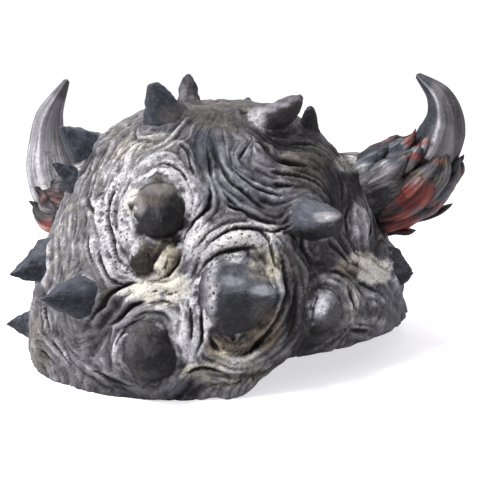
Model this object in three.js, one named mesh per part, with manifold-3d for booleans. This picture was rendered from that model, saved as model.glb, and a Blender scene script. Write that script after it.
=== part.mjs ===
// Horned mask: a cast latex hood that covers the head from the nape to the upper lip.
// The hood stands on its cut rim, open below. +Z is up and the face looks along -Y.
// Two horns, each cast with its own collar of flakes, are glued to stumps on the temples.
// All sizes are millimetres and all angles degrees. "around" turns about the head from the back
// (0) to the wearer's left (+90, the +X side), and "height" is measured from the rim's plane.

import * as THREE from 'three';
import { mergeVertices } from 'three/addons/utils/BufferGeometryUtils.js';
import Module from 'manifold-3d';

const wasm = await Module();
wasm.setup();

// The hood: an oval bell.
const HOOD_HEIGHT = 163;
const HOOD_HALF_WIDTH = 129;
const HOOD_HALF_DEPTH = 122;
const SHOULDER_ROUNDNESS = 2.9;
const CROWN_ROUNDNESS = 1.45;
const WALL = 4.5;
const DEEPEST = -2;

// Where the head's axis stands from the middle of the whole part.
const AXIS_X = -0.4;
const AXIS_Y = -0.7;

// The cut rim rests on its back and front stretches. The sides are cut higher.
const RIM_LIFT_RIGHT = 20;
const RIM_LIFT_LEFT = 7;

// The mesh of the hood: finer at the back and the front and half way up, where it is carved most.
const HOOD_SIDES = 76;
const HOOD_ROWS = 24;
const END_DENSITY = 0.3;
const MIDDLE_DENSITY = 0.3;
const CORE_SIDES = 32;
const CORE_ROWS = 8;

// Spikes. "aim" is the way a spike points: around the head, then up from level.
// "blunt" spikes stay thick towards a round tip, and "ringed" ones sit in rings of folded skin.
const SPIKES = [
  { around: -4, height: 107, radius: 16.5, length: 22, aim: [-18, -12], blunt: true, ringed: 1 },
  { around: 0, height: 79, radius: 8.5, length: 8, aim: [-20, 6], blunt: true },
  { around: -28, height: 57, radius: 20, length: 32, aim: [-60, 9], ringed: 1.1 },
  { around: -4, height: 31, radius: 18, length: 24, aim: [-22, -6], blunt: true, ringed: 0.8 },
  { around: -54, height: 94, radius: 12.5, length: 28, aim: [-59, 4], blunt: true },
  { around: -52.5, height: 47.5, radius: 12, length: 17, aim: [-28, 4], blunt: true },
  { around: -88, height: 52, radius: 13, length: 20, aim: [-60, 4] },
  { around: 8, height: 155.5, radius: 13, length: 31, aim: [-4, 48], blunt: true },
  { around: 145, height: 158, radius: 9.5, length: 28, aim: [158, 50], blunt: true },
  { around: -57, height: 151, radius: 11, length: 41, aim: [-56, 22], blunt: true },
  { around: -84, height: 142, radius: 7.5, length: 21, aim: [-30, 50], blunt: true },
  { around: 54, height: 139, radius: 13.5, length: 31, aim: [18, 34], blunt: true },
  { around: 48, height: 119, radius: 8.5, length: 19, aim: [49, 42] },
  { around: 47, height: 68, radius: 13, length: 27, aim: [30, -5] },
  { around: 20, height: 55, radius: 13.5, length: 38, aim: [16, 12] },
  { around: 68, height: 18, radius: 9.5, length: 19, aim: [74, 2] },
  { around: 100, height: 48, radius: 12, length: 22, aim: [100, 10] },
  { around: 180, height: 142, radius: 10, length: 26, aim: [180, 42] },
  { around: 155, height: 122, radius: 9, length: 20, aim: [155, 36] },
  { around: -155, height: 122, radius: 9, length: 20, aim: [-155, 36] },
  { around: 138, height: 30, radius: 9, length: 17, aim: [138, 6] },
  { around: -138, height: 30, radius: 9, length: 17, aim: [-138, 6] },
];
const SPIKE_SIDES = 7;
const SPIKE_ROOT = 7;

// Broad swellings of the hood: where, how high they rise and how far they reach.
const SWELLINGS = [
  { around: -62, height: 128, rise: 7, reach: 30 },
  { around: -79, height: 86, rise: 5, reach: 13 },
  { around: 32, height: 92, rise: 5, reach: 22 },
  { around: 48, height: 34, rise: 4, reach: 24 },
  { around: -80, height: 38, rise: 4, reach: 24 },
];

// Main folds that run freely: from one place to another on the hood, as [around, height].
const FOLD_DEPTH = 3;
const FOLD_WIDTH = 8;
const FOLDS = [
  { from: [-12, 134], to: [-22, 96] },
  { from: [-22, 96], to: [-12, 70] },
  { from: [-24, 140], to: [-44, 108] },
  { from: [-44, 108], to: [-52, 74] },
  { from: [22, 128], to: [27, 84] },
  { from: [8, 50], to: [28, 36] },
  { from: [-60, 76], to: [-80, 60] },
];

// Ridges of the face, the same on both sides: brow, temple, cheek and forehead lines.
const FACE_RIDGES = [
  { from: [177, 57], to: [152, 66], rise: 11, reach: 10 },
  { from: [152, 66], to: [128, 56], rise: 8, reach: 10 },
  { from: [162, 19], to: [132, 30], rise: 9, reach: 11 },
  { from: [132, 30], to: [112, 52], rise: 5, reach: 11 },
  { from: [180, 84], to: [154, 92], rise: 3.5, reach: 7 },
  { from: [180, 104], to: [158, 108], rise: 3, reach: 7 },
];

// The stumps that carry the horns: flat faces on the temples, tilted a little upwards.
const STUMP_FORWARD = 42;
const STUMP_RADIUS = 26;
const STUMP_LENGTH = 34;
const GLUE_GAP = 0.3;

// Each side's stump, and the centre lines of its collar and its horn from the root to the tip,
// as [out, forward, up, radius]. The left horn sits lower on its temple and is longer.
const RIGHT = {
  side: -1,
  stumpOut: 103,
  stumpUp: 97,
  stumpTilt: 18,
  collar: [
    [97, 42, 94, 25.5],
    [112, 42, 99.5, 26.5],
    [128, 41.5, 107, 25],
    [140, 41, 118, 20.5],
    [146, 41, 127, 12],
  ],
  horn: [
    [130, 41, 110, 17],
    [142, 41, 122, 18.5],
    [149, 42, 137, 16.5],
    [150, 44, 149, 12.5],
    [146, 46, 160, 9],
    [133, 50, 173, 2.4],
  ],
};
const LEFT = {
  side: 1,
  stumpOut: 112,
  stumpUp: 88,
  stumpTilt: 10,
  collar: [
    [104, 42, 86.5, 25.5],
    [116, 42, 88, 26],
    [129, 41.5, 88.5, 24],
    [141, 41, 91, 20.5],
    [149, 41, 97, 12],
  ],
  horn: [
    [132, 41, 84, 18],
    [143, 41, 99, 20],
    [148, 42, 118, 18.5],
    [148.5, 44, 137, 14.5],
    [146, 46, 155, 11],
    [131, 50, 181, 2.4],
  ],
};
// The horn's section about its line, in shares of the radius and in radians: flat towards the head
// and a little towards the back, with a ridge on each side of the flat, this far from its middle.
const HORN_ROUND = 0.94;
const HORN_FLAT = 0.12;
const HORN_FLAT_TURN = -2.1;
const HORN_RIDGE = { rise: 0.06, turn: 1, width: 0.35 };
const HORN_SIDES = 12;
const HORN_ROWS = 12;
const COLLAR_SIDES = 12;
const COLLAR_ROWS = 5;

// Rings of flakes on a collar: where along it they start and end, how many, half their width, how
// far their tips stand off it and where the first one is. They are rooted this deep inside it.
const FLAKE_RINGS = [
  { start: 0, end: 0.54, count: 5, width: 12.5, tip: 2.5, turn: 118 },
  { start: 0.24, end: 0.8, count: 6, width: 11, tip: 3.5, turn: 60 },
  { start: 0.5, end: 1.02, count: 7, width: 8.5, tip: 5, turn: 95 },
];
const FLAKE_THICKNESS = 0.4;
const FLAKE_SUNK = 2;
const FLAKE_LEAST_RADIUS = 13;

// The eye holes and the nose.
const EYE_OUT = 34;
const EYE_UP = 40;
const EYE_WIDTH = 31;
const EYE_HEIGHT = 15;
const NOSE_LINE = [
  [0, 104, 66, 6],
  [0, 118, 50, 8.5],
  [0, 128, 30, 10.5],
  [0, 131, 17, 11],
  [0, 124, 8, 7],
];
const NOSTRIL_WING = { out: 10, forward: 123, up: 15, radius: 8 };
const SKIN_COLOUR = 0x5f6064;
const HORN_COLOUR = 0x7d8082;

const rad = THREE.MathUtils.degToRad;
const { cos, sin, exp, abs, acos } = Math;

// The point of the plain bell at a turn around the head and an angle down from the crown.
function bellPoint(around, down, inset = 0) {
  const share = sin(rad(down)) ** (2 / SHOULDER_ROUNDNESS);
  const rise = Math.max(cos(rad(down)), 0) ** (2 / CROWN_ROUNDNESS);
  return new THREE.Vector3(
    (HOOD_HALF_WIDTH - inset) * share * sin(rad(around)),
    (HOOD_HALF_DEPTH - inset) * share * cos(rad(around)),
    (HOOD_HEIGHT - inset) * rise,
  );
}

// The angle down from the crown at which the bell has a height.
function downAt(height) {
  return THREE.MathUtils.radToDeg(acos((height / HOOD_HEIGHT) ** (CROWN_ROUNDNESS / 2)));
}

function bellNormal(around, down) {
  const step = 0.4;
  const low = Math.max(down, 1.5);
  const alongRing = bellPoint(around + step, low).sub(bellPoint(around - step, low));
  const alongRib = bellPoint(around, low + step).sub(bellPoint(around, low - step));
  return alongRib.cross(alongRing).normalize().negate();
}

// A direction from a turn around the head and an angle up from level.
function direction(around, up) {
  return new THREE.Vector3(
    sin(rad(around)) * cos(rad(up)),
    cos(rad(around)) * cos(rad(up)),
    sin(rad(up)),
  );
}

function smoothStep(value, low, high) {
  return THREE.MathUtils.smoothstep(value, low, high);
}

// How high the cut rim stands above the level it rests on.
function rimLift(around) {
  const turn = THREE.MathUtils.euclideanModulo(around + 180, 360) - 180;
  const right = smoothStep(-turn, 23, 40) * (1 - smoothStep(-turn, 92, 140));
  const left = smoothStep(turn, 82, 100) * (1 - smoothStep(turn, 122, 145));
  return RIM_LIFT_RIGHT * right + RIM_LIFT_LEFT * left;
}

function distanceToSegment(point, start, end) {
  const line = end.clone().sub(start);
  const share = THREE.MathUtils.clamp(point.clone().sub(start).dot(line) / line.lengthSq(), 0, 1);
  return point.distanceTo(start.clone().addScaledVector(line, share));
}

function onBell(around, height) {
  return bellPoint(around, downAt(height));
}

const spikeRoots = SPIKES.map((spike) => onBell(spike.around, spike.height));
const swellingRoots = SWELLINGS.map((swelling) => onBell(swelling.around, swelling.height));
const foldEnds = FOLDS.map((fold) => [onBell(...fold.from), onBell(...fold.to)]);
const faceRidges = [-1, 1].flatMap((side) => FACE_RIDGES.map((ridge) => ({
  ...ridge,
  start: onBell(side * ridge.from[0], ridge.from[1]),
  end: onBell(side * ridge.to[0], ridge.to[1]),
})));

function bump(distance, reach) {
  return exp(-((distance / reach) ** 2));
}

// How far the carved skin rises above the plain bell: mounds and rings round the spikes,
// broad swellings, the ridges of the face and the free folds.
function relief(point) {
  let rise = 0;
  SPIKES.forEach((spike, index) => {
    const distance = point.distanceTo(spikeRoots[index]);
    const radius = spike.radius;
    rise += 0.28 * radius * bump(distance, 1.35 * radius);
    if (spike.ringed) {
      rise += 4 * bump(distance - 1.7 * radius * spike.ringed, 8);
      rise -= 3 * bump(distance - 2.3 * radius * spike.ringed, 8);
    }
  });
  SWELLINGS.forEach((swelling, index) => {
    rise += swelling.rise * bump(point.distanceTo(swellingRoots[index]), swelling.reach);
  });
  const ridges = faceRidges.map((ridge) => (
    ridge.rise * bump(distanceToSegment(point, ridge.start, ridge.end), ridge.reach)
  ));
  const grooves = foldEnds.map(([start, end]) => (
    FOLD_DEPTH * bump(distanceToSegment(point, start, end), FOLD_WIDTH)
  ));
  return Math.max(rise + Math.max(...ridges) - Math.max(...grooves), DEEPEST);
}

function solidFrom(geometry, corners) {
  return new wasm.Manifold(new wasm.Mesh({
    numProp: 3,
    vertProperties: new Float32Array(geometry.attributes.position.array),
    triVerts: new Uint32Array(corners),
  }));
}

// Turns a closed geometry into a solid. A mirrored or mapped geometry can come out inside-out,
// which shows as a negative volume, and then every triangle is turned over.
function solidOf(geometry) {
  const bare = geometry.clone();
  bare.deleteAttribute('normal');
  bare.deleteAttribute('uv');
  const merged = mergeVertices(bare, 1e-4);
  const solid = solidFrom(merged, merged.index.array);
  if (solid.volume() > 0) return solid;
  return solidFrom(merged, merged.index.array.slice().reverse());
}

// Turns a solid back into a flat-shaded geometry.
function geometryOf(solid) {
  const mesh = solid.getMesh();
  const geometry = new THREE.BufferGeometry();
  geometry.setAttribute('position', new THREE.BufferAttribute(new Float32Array(mesh.vertProperties), 3));
  geometry.setIndex(new THREE.BufferAttribute(new Uint32Array(mesh.triVerts), 1));
  geometry.computeVertexNormals();
  return geometry;
}

// Moves every point of a geometry by a function of its old place.
function reshape(geometry, place) {
  const position = geometry.attributes.position;
  const old = new THREE.Vector3();
  for (let index = 0; index < position.count; index += 1) {
    old.fromBufferAttribute(position, index);
    const moved = place(old);
    position.setXYZ(index, moved.x, moved.y, moved.z);
  }
  return geometry;
}

// A lathe whose rows are counted downwards: each point keeps its row in y and its turn in x, z.
function rowsLathe(rows, sides) {
  const profile = [new THREE.Vector2(0, -rows - 1)];
  for (let row = rows; row >= 1; row -= 1) {
    profile.push(new THREE.Vector2(1, -row));
  }
  profile.push(new THREE.Vector2(0, 0));
  return new THREE.LatheGeometry(profile, sides);
}

// The carved outside of the hood, closed across the rim.
function hoodOutside() {
  return reshape(rowsLathe(HOOD_ROWS, HOOD_SIDES), (old) => {
    const row = Math.round(-old.y);
    if (row > HOOD_ROWS) return new THREE.Vector3(0, 0, 0);
    const turn = THREE.MathUtils.radToDeg(Math.atan2(old.x, old.z));
    const around = turn - (END_DENSITY / 2) * THREE.MathUtils.radToDeg(sin(rad(2 * turn)));
    const lowest = row === 0 ? 90 : downAt(rimLift(around));
    const share = row / HOOD_ROWS;
    const down = lowest * (share + (MIDDLE_DENSITY * sin(2 * Math.PI * share)) / (2 * Math.PI));
    const point = bellPoint(around, down);
    const rim = row === HOOD_ROWS;
    const normal = rim ? direction(around, 0) : bellNormal(around, down);
    return point.addScaledVector(row === 0 ? new THREE.Vector3(0, 0, 1) : normal, relief(point));
  });
}

// The hollow inside the hood, drawn out below the rim.
function hoodHollow() {
  return reshape(rowsLathe(CORE_ROWS + 1, CORE_SIDES), (old) => {
    const row = Math.round(-old.y);
    const around = THREE.MathUtils.radToDeg(Math.atan2(old.x, old.z));
    if (row > CORE_ROWS) {
      const point = row > CORE_ROWS + 1 ? new THREE.Vector3() : bellPoint(around, 90, WALL);
      return point.setZ(-20);
    }
    return bellPoint(around, (90 * row) / CORE_ROWS, WALL);
  });
}

// A cone standing on the XY plane, round or blunt at the tip, with its root below the plane.
function spikeSolid(spike) {
  const shares = spike.blunt
    ? [[-SPIKE_ROOT / spike.length, 1.06], [0, 1], [0.38, 0.84], [0.72, 0.58], [0.93, 0.27]]
    : [[-SPIKE_ROOT / spike.length, 1.1], [0, 1], [0.35, 0.7], [0.72, 0.36], [0.95, 0.1]];
  const profile = [new THREE.Vector2(0, shares[0][0] * spike.length)];
  shares.forEach(([along, share]) => {
    profile.push(new THREE.Vector2(share * spike.radius, along * spike.length));
  });
  profile.push(new THREE.Vector2(0, spike.length));
  const geometry = new THREE.LatheGeometry(profile, SPIKE_SIDES);
  const aim = direction(...spike.aim);
  const turn = new THREE.Quaternion().setFromUnitVectors(new THREE.Vector3(0, 1, 0), aim);
  const root = onBell(spike.around, spike.height);
  const lifted = root.clone().addScaledVector(bellNormal(spike.around, downAt(spike.height)), 2);
  geometry.applyQuaternion(turn).translate(lifted.x, lifted.y, lifted.z);
  return solidOf(geometry);
}

// The radius at a share of the way along a line.
function radiusAt(line, along) {
  const place = along * (line.length - 1);
  const index = Math.min(Math.floor(place), line.length - 2);
  return THREE.MathUtils.lerp(line[index][3], line[index + 1][3], place - index);
}

function curveOf(line, side) {
  const points = line.map(([out, forward, up]) => new THREE.Vector3(side * out, -forward, up));
  return new THREE.CatmullRomCurve3(points, false, 'centripetal');
}

// A tapered bar along a line of [out, forward, up, radius] points on one side of the head.
// "section" scales the radius by the angle about the line, measured from its forward side.
function taperedBar(line, side, sides, rows, section = () => 1) {
  const curve = curveOf(line, side);
  const geometry = reshape(rowsLathe(rows, sides), (old) => {
    const row = Math.round(-old.y);
    const along = THREE.MathUtils.clamp((row - 1) / (rows - 1), 0, 1);
    const centre = curve.getPoint(along);
    if (row === 0) return centre;
    if (row > rows) return centre.addScaledVector(curve.getTangent(1), 0.8 * line.at(-1)[3]);
    const tangent = curve.getTangent(along);
    const across = new THREE.Vector3(0, -1, 0).addScaledVector(tangent, tangent.y).normalize();
    const upward = tangent.clone().cross(across).multiplyScalar(side);
    const turn = Math.atan2(old.x, old.z);
    const radius = radiusAt(line, along) * section(turn);
    return centre
      .addScaledVector(across, radius * cos(turn))
      .addScaledVector(upward, radius * sin(turn));
  });
  return solidOf(geometry);
}

function stumpAxis({ side, stumpTilt }) {
  return new THREE.Vector3(side * cos(rad(stumpTilt)), 0, sin(rad(stumpTilt)));
}

// Puts a geometry that stands along Y on a stump's axis, this far along from the stump's face.
function onStump(geometry, temple, along) {
  const axis = stumpAxis(temple);
  const centre = new THREE.Vector3(temple.side * temple.stumpOut, -STUMP_FORWARD, temple.stumpUp);
  centre.addScaledVector(axis, along);
  const turn = new THREE.Quaternion().setFromUnitVectors(new THREE.Vector3(0, 1, 0), axis);
  geometry.applyQuaternion(turn).translate(centre.x, centre.y, centre.z);
  return solidOf(geometry);
}

// The stump on a temple that a horn's collar is glued to.
function stumpSolid(temple) {
  const geometry = new THREE.CylinderGeometry(STUMP_RADIUS, STUMP_RADIUS + 12, STUMP_LENGTH, 20);
  return onStump(geometry, temple, -STUMP_LENGTH / 2 - GLUE_GAP);
}

// A pointed almond hole through the front wall.
function eyeCutter(side) {
  const half = EYE_WIDTH / 2;
  const outline = new THREE.Shape();
  outline.moveTo(-half, 0);
  outline.quadraticCurveTo(0, EYE_HEIGHT, half, 2);
  outline.quadraticCurveTo(0, -EYE_HEIGHT + 2, -half, 0);
  const through = { depth: 90, bevelEnabled: false, curveSegments: 5 };
  const geometry = new THREE.ExtrudeGeometry(outline, through);
  geometry.rotateX(Math.PI / 2).scale(side, 1, 1);
  geometry.translate(side * EYE_OUT, -70, EYE_UP);
  return solidOf(geometry);
}

function wingSolid(side) {
  const { out, forward, up, radius } = NOSTRIL_WING;
  const geometry = new THREE.SphereGeometry(radius, 10, 7).scale(0.8, 1.1, 0.85);
  geometry.translate(side * out, -forward, up);
  return solidOf(geometry);
}

// The hood: one casting with its spikes, face and horn stumps.
function maskSkin() {
  let solid = solidOf(hoodOutside());
  SPIKES.forEach((spike) => {
    solid = solid.add(spikeSolid(spike));
  });
  [RIGHT, LEFT].forEach((temple) => {
    solid = solid.add(stumpSolid(temple)).add(wingSolid(temple.side));
  });
  solid = solid.add(taperedBar(NOSE_LINE, 1, 8, 8));
  solid = solid.subtract(solidOf(hoodHollow()));
  [RIGHT, LEFT].forEach((temple) => {
    solid = solid.subtract(eyeCutter(temple.side));
  });
  return geometryOf(solid);
}

// The share of its radius that the horn reaches at an angle about its line.
function hornSection(turn) {
  const fromFlat = acos(cos(turn - HORN_FLAT_TURN));
  const flat = HORN_FLAT * Math.max(cos(fromFlat), 0) ** 3;
  return HORN_ROUND - flat + HORN_RIDGE.rise * bump(fromFlat - HORN_RIDGE.turn, HORN_RIDGE.width);
}

// Flakes lie along a collar in overlapping rings, each from a root inside it to a lifted tip.
function flakeSolids({ side, collar }) {
  const curve = curveOf(collar, side);
  const place = (along, turn, over) => {
    const share = Math.min(along, 1);
    const tangent = curve.getTangent(share);
    const across = new THREE.Vector3(0, -1, 0).addScaledVector(tangent, tangent.y).normalize();
    const upward = tangent.clone().cross(across).multiplyScalar(side);
    const outward = across.multiplyScalar(cos(turn)).addScaledVector(upward, sin(turn));
    const girth = Math.max(radiusAt(collar, share), FLAKE_LEAST_RADIUS) + over;
    const point = curve.getPoint(share).addScaledVector(tangent, (along - share) * curve.getLength());
    return { point: point.addScaledVector(outward, girth), outward };
  };
  return FLAKE_RINGS.flatMap((ring) => Array.from({ length: ring.count }, (_, index) => {
    const turn = rad(ring.turn + (360 * index) / ring.count);
    const root = place(ring.start, turn, -FLAKE_SUNK);
    const tip = place(ring.end, turn, ring.tip);
    return flakeSolid(root.point, tip.point, root.outward, ring.width);
  }));
}

// One flake: a flattened, pointed leaf from its root to its tip.
function flakeSolid(root, tip, outward, width) {
  const aim = tip.clone().sub(root);
  const length = aim.length();
  const profile = [
    new THREE.Vector2(0, 0),
    new THREE.Vector2(width, 0.25 * length),
    new THREE.Vector2(0.75 * width, 0.74 * length),
    new THREE.Vector2(0, length),
  ];
  const geometry = new THREE.LatheGeometry(profile, 4);
  geometry.scale(1, 1, FLAKE_THICKNESS);
  const sideways = aim.normalize().clone().cross(outward).normalize();
  const facing = sideways.clone().cross(aim).normalize();
  geometry.applyMatrix4(new THREE.Matrix4().makeBasis(sideways, aim, facing).setPosition(root));
  return solidOf(geometry);
}

// Everything behind the plane where a collar is glued on, as a block.
function behindGlueLine(temple) {
  const depth = 60;
  return onStump(new THREE.BoxGeometry(160, depth, 160), temple, -depth / 2);
}

// A horn and its collar of flakes: one casting, cut flat where it is glued on.
function horn(temple) {
  let solid = taperedBar(temple.collar, temple.side, COLLAR_SIDES, COLLAR_ROWS);
  solid = solid.add(taperedBar(temple.horn, temple.side, HORN_SIDES, HORN_ROWS, hornSection));
  flakeSolids(temple).forEach((flake) => {
    solid = solid.add(flake);
  });
  return geometryOf(solid.subtract(behindGlueLine(temple)));
}

function piece(name, geometry, color, roughness) {
  const material = new THREE.MeshStandardMaterial({ color, roughness, flatShading: true });
  const mesh = new THREE.Mesh(geometry, material);
  mesh.name = name;
  return mesh;
}

const group = new THREE.Group();
group.add(piece('mask_skin', maskSkin(), SKIN_COLOUR, 0.7));
group.add(piece('horn_left', horn(LEFT), HORN_COLOUR, 0.55));
group.add(piece('horn_right', horn(RIGHT), HORN_COLOUR, 0.55));
group.position.set(AXIS_X, AXIS_Y, 0);

export default group;
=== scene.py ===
from math import cos, pi, radians, sin

import bmesh
import bpy
import numpy as np
from mathutils import Matrix, Vector


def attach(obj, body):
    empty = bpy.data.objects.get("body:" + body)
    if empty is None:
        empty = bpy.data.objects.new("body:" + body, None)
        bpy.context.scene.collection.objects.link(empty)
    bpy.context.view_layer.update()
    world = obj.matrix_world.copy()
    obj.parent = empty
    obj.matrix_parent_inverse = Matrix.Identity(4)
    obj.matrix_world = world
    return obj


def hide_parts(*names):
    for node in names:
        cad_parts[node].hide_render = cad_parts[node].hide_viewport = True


# Horned mask: a cast latex hood set with spikes, and on each temple a horn in a collar of flakes.
# Shapes are worked out in millimetres from the head's axis, as the solids are, and become metres
# when a mesh is made. "around" turns about the head from the back (0) to the wearer's left (+90).

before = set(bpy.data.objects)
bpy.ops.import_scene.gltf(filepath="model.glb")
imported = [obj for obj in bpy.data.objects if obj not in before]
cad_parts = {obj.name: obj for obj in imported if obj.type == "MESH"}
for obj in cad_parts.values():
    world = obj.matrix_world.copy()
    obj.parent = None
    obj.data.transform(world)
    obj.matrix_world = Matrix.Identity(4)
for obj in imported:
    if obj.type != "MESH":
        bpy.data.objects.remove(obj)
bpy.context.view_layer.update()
rng = np.random.default_rng(7)

MM = 0.001
# Where the head's axis stands in the frame, in millimetres.
AXIS = np.array([-0.4, -0.7, 0.0])
# Edges and faces thinner than this, in metres, are leftovers of a cut.
SLIVER = 1e-6

# The hood: an oval bell with a cut rim. Within RIM_LEVELS_OFF of the rim its relief stands out level.
HOOD_HEIGHT = 163
HOOD_HALF_WIDTH = 129
HOOD_HALF_DEPTH = 122
HOOD_MEAN_RADIUS = 125
SHOULDER_ROUNDNESS = 2.9
CROWN_ROUNDNESS = 1.45
WALL = 4.5
RIM_LIFT_RIGHT = 20
RIM_LIFT_LEFT = 7
RIM_RAGGEDNESS = 1.6
RIM_LEVELS_OFF = 7

# The mesh of the skin: its columns are closest together on the side that is carved most, and its
# rows are spaced evenly along the bell's profile, which is measured in PROFILE_STEPS.
SKIN_COLUMNS = 424
SKIN_ROWS = 214
LINING_ROWS = 10
CARVED_SIDE = -22
COLUMN_FINENESS = 0.5
PROFILE_STEPS = 3000

# How the skin is carved, in mm: how high folds, drapes and wrinkles stand, how deep pits are and how
# far apart, and how deep any cut may go. Beyond SOFT_CUT, broad cuts deepen by SOFT_ROOM at most.
# Folds are strongest within CREASE_REACH of a drawn crease, and weaker in places by these shares.
FOLD_HEIGHT = 1.4
DRAPE_HEIGHT = 1.2
WRINKLE_HEIGHT = 0.9
PIT_DEPTH = 1.1
PIT_SPACING = 3.8
SOFT_CUT = 0.8
SOFT_ROOM = 1.4
DEEPEST_CUT = 3.3
CREASE_REACH = 14
CALMER = dict(face=0.75, stump=0.6, crown=0.8, smooth=0.65)
# Paint lighter than the knee climbs ever more slowly, by this room at most.
BRIGHT_KNEE = 0.7
BRIGHT_ROOM = 0.25
BRIGHT_REACH = 0.21

# Spikes: where they stand, how thick and long they are, and the way they point: around, then up.
# "blunt" is 1 for a round spike and 2 for a slim one with a round tip, and a sharp one has none.
# "ringed" is how wide the ring of skin round a spike is. "tone" is how light each one is painted,
# the amount after it how much lighter its upper side is painted, a painted highlight where the light
# from above falls, and "slate" and "brown" how blue and how brown.
SPIKES = [
    dict(around=-4.6, height=104.5, radius=15, length=22, aim=(-18, -12), blunt=1, ringed=1,
         tone=0.0, top_highlight=0.15, slate=0.0, brown=0.3),
    dict(around=0, height=79, radius=8.5, length=8, aim=(-20, 6), blunt=1,
         tone=0.12, top_highlight=0.1, slate=0.0, brown=0.7),
    dict(around=-28, height=57, radius=20, length=30, aim=(-60, 9), ringed=1.1,
         tone=0.18, top_highlight=0.3, slate=0.6, brown=0.0),
    dict(around=-3, height=27.6, radius=16.8, length=22, aim=(-22, -3), blunt=1, ringed=0.8,
         tone=0.04, top_highlight=0.45, slate=0.2, brown=0.4),
    dict(around=-54, height=94, radius=12.5, length=28, aim=(-59, 4), blunt=1,
         tone=0.2, top_highlight=0.6, slate=0.6, brown=0.0),
    dict(around=-50.5, height=44.5, radius=10.5, length=15, aim=(-28, 4), blunt=2,
         tone=0.36, top_highlight=1.0, slate=0.5, brown=0.0),
    dict(around=-88, height=52, radius=13, length=20, aim=(-60, 4),
         tone=0.14, top_highlight=0.25, slate=0.7, brown=0.2),
    dict(around=8, height=155.5, radius=13, length=31, aim=(-4, 48), blunt=2,
         tone=0.33, top_highlight=0.15, slate=0.7, brown=0.1),
    dict(around=145, height=158, radius=8.4, length=28, aim=(158, 50), blunt=1,
         tone=0.14, top_highlight=0.2, slate=0.5, brown=0.2),
    dict(around=-57, height=149, radius=11, length=41, aim=(-56, 25), blunt=2,
         tone=0.2, top_highlight=0.3, slate=0.3, brown=0.3),
    dict(around=-84, height=142, radius=6.5, length=21, aim=(-30, 50), blunt=1,
         tone=0.14, top_highlight=0.3, slate=0.3, brown=0.2),
    dict(around=54, height=135.5, radius=12.5, length=31, aim=(18, 38), blunt=2,
         tone=0.34, top_highlight=0.3, slate=0.8, brown=0.1),
    dict(around=48, height=119, radius=8.5, length=19, aim=(49, 42),
         tone=0.18, top_highlight=0.2, slate=0.8, brown=0.1),
    dict(around=47, height=68, radius=13, length=27, aim=(30, -5),
         tone=0.22, top_highlight=0.35, slate=0.8, brown=0.1),
    dict(around=20, height=55, radius=13.5, length=38, aim=(16, 12),
         tone=0.23, top_highlight=0.35, slate=0.9, brown=0.0),
    dict(around=68, height=18, radius=9.5, length=19, aim=(74, 2),
         tone=0.2, top_highlight=0.3, slate=0.8, brown=0.1),
]
# The spikes' three shapes, in the order of "blunt", and how rough they are, in metres.
SPIKE_SHAPES = ("Sharp", "Round", "Slim")
SPIKE_ROUGHNESS = {"Lumps per metre": 1 / 0.016, "Lump height": 0.005, "Groove depth": 0.003}
# How much of its radius a round and a slim spike lose up to their tips.
SPIKE_TAPERS = {1: 0.42, 2: 0.62}
# Brush streaks on a spike: how many lie across its radius, and how many follow along it.
SPIKE_STREAKS = 5.0
SPIKE_STREAK_RATE = 1.2
GRAIN_FIELDS = ("grain_x", "grain_y", "grain_z")
# The spikes that the photograph doesn't show, in the same paint.
SPIKES += [
    dict(around=around, height=height, radius=radius, length=length, aim=aim,
         tone=0.22, top_highlight=0.5, slate=0.7, brown=0.1)
    for around, height, radius, length, aim in (
        (100, 48, 12, 22, (100, 10)), (180, 142, 10, 26, (180, 42)),
        (155, 122, 9, 20, (155, 36)), (-155, 122, 9, 20, (-155, 36)),
        (138, 30, 9, 17, (138, 6)), (-138, 30, 9, 17, (-138, 6)),
    )
]

# Broad swellings of the skin between the spikes.
SWELLINGS = [
    dict(around=-62, height=128, rise=7, reach=30),
    dict(around=-79, height=86, rise=5, reach=13),
    dict(around=32, height=92, rise=5, reach=22),
    dict(around=48, height=34, rise=4, reach=24),
    dict(around=-80, height=38, rise=4, reach=24),
]

# The plain half face, alike on both sides. Its brows, cheeks and forehead folds run between two
# places of (around, height).
FACE_RIDGES = [
    dict(start=(177, 57), end=(152, 66), rise=11, reach=10),
    dict(start=(152, 66), end=(128, 56), rise=8, reach=10),
    dict(start=(162, 19), end=(132, 30), rise=9, reach=11),
    dict(start=(132, 30), end=(112, 52), rise=5, reach=11),
    dict(start=(180, 84), end=(154, 92), rise=3.5, reach=7),
    dict(start=(180, 104), end=(158, 108), rise=3, reach=7),
]
# The eye holes: where their middles are, their size, how much higher the outer corner is, how many
# steps each lid has, and from where to where they are cut.
EYE_OUT = 34
EYE_UP = 40
EYE_WIDTH = 31
EYE_HEIGHT = 15
EYE_SLANT = 2
EYE_STEPS = 14
EYE_CUT = (-165, -70)
# The nose and a wing of its nostrils, as (out, forward, up, radius).
NOSE_LINE = [(0, 104, 66, 6), (0, 118, 50, 8.5), (0, 128, 30, 10.5), (0, 131, 17, 11), (0, 124, 8, 7)]
NOSTRIL_WING = (10, 123, 15, 8)

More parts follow.
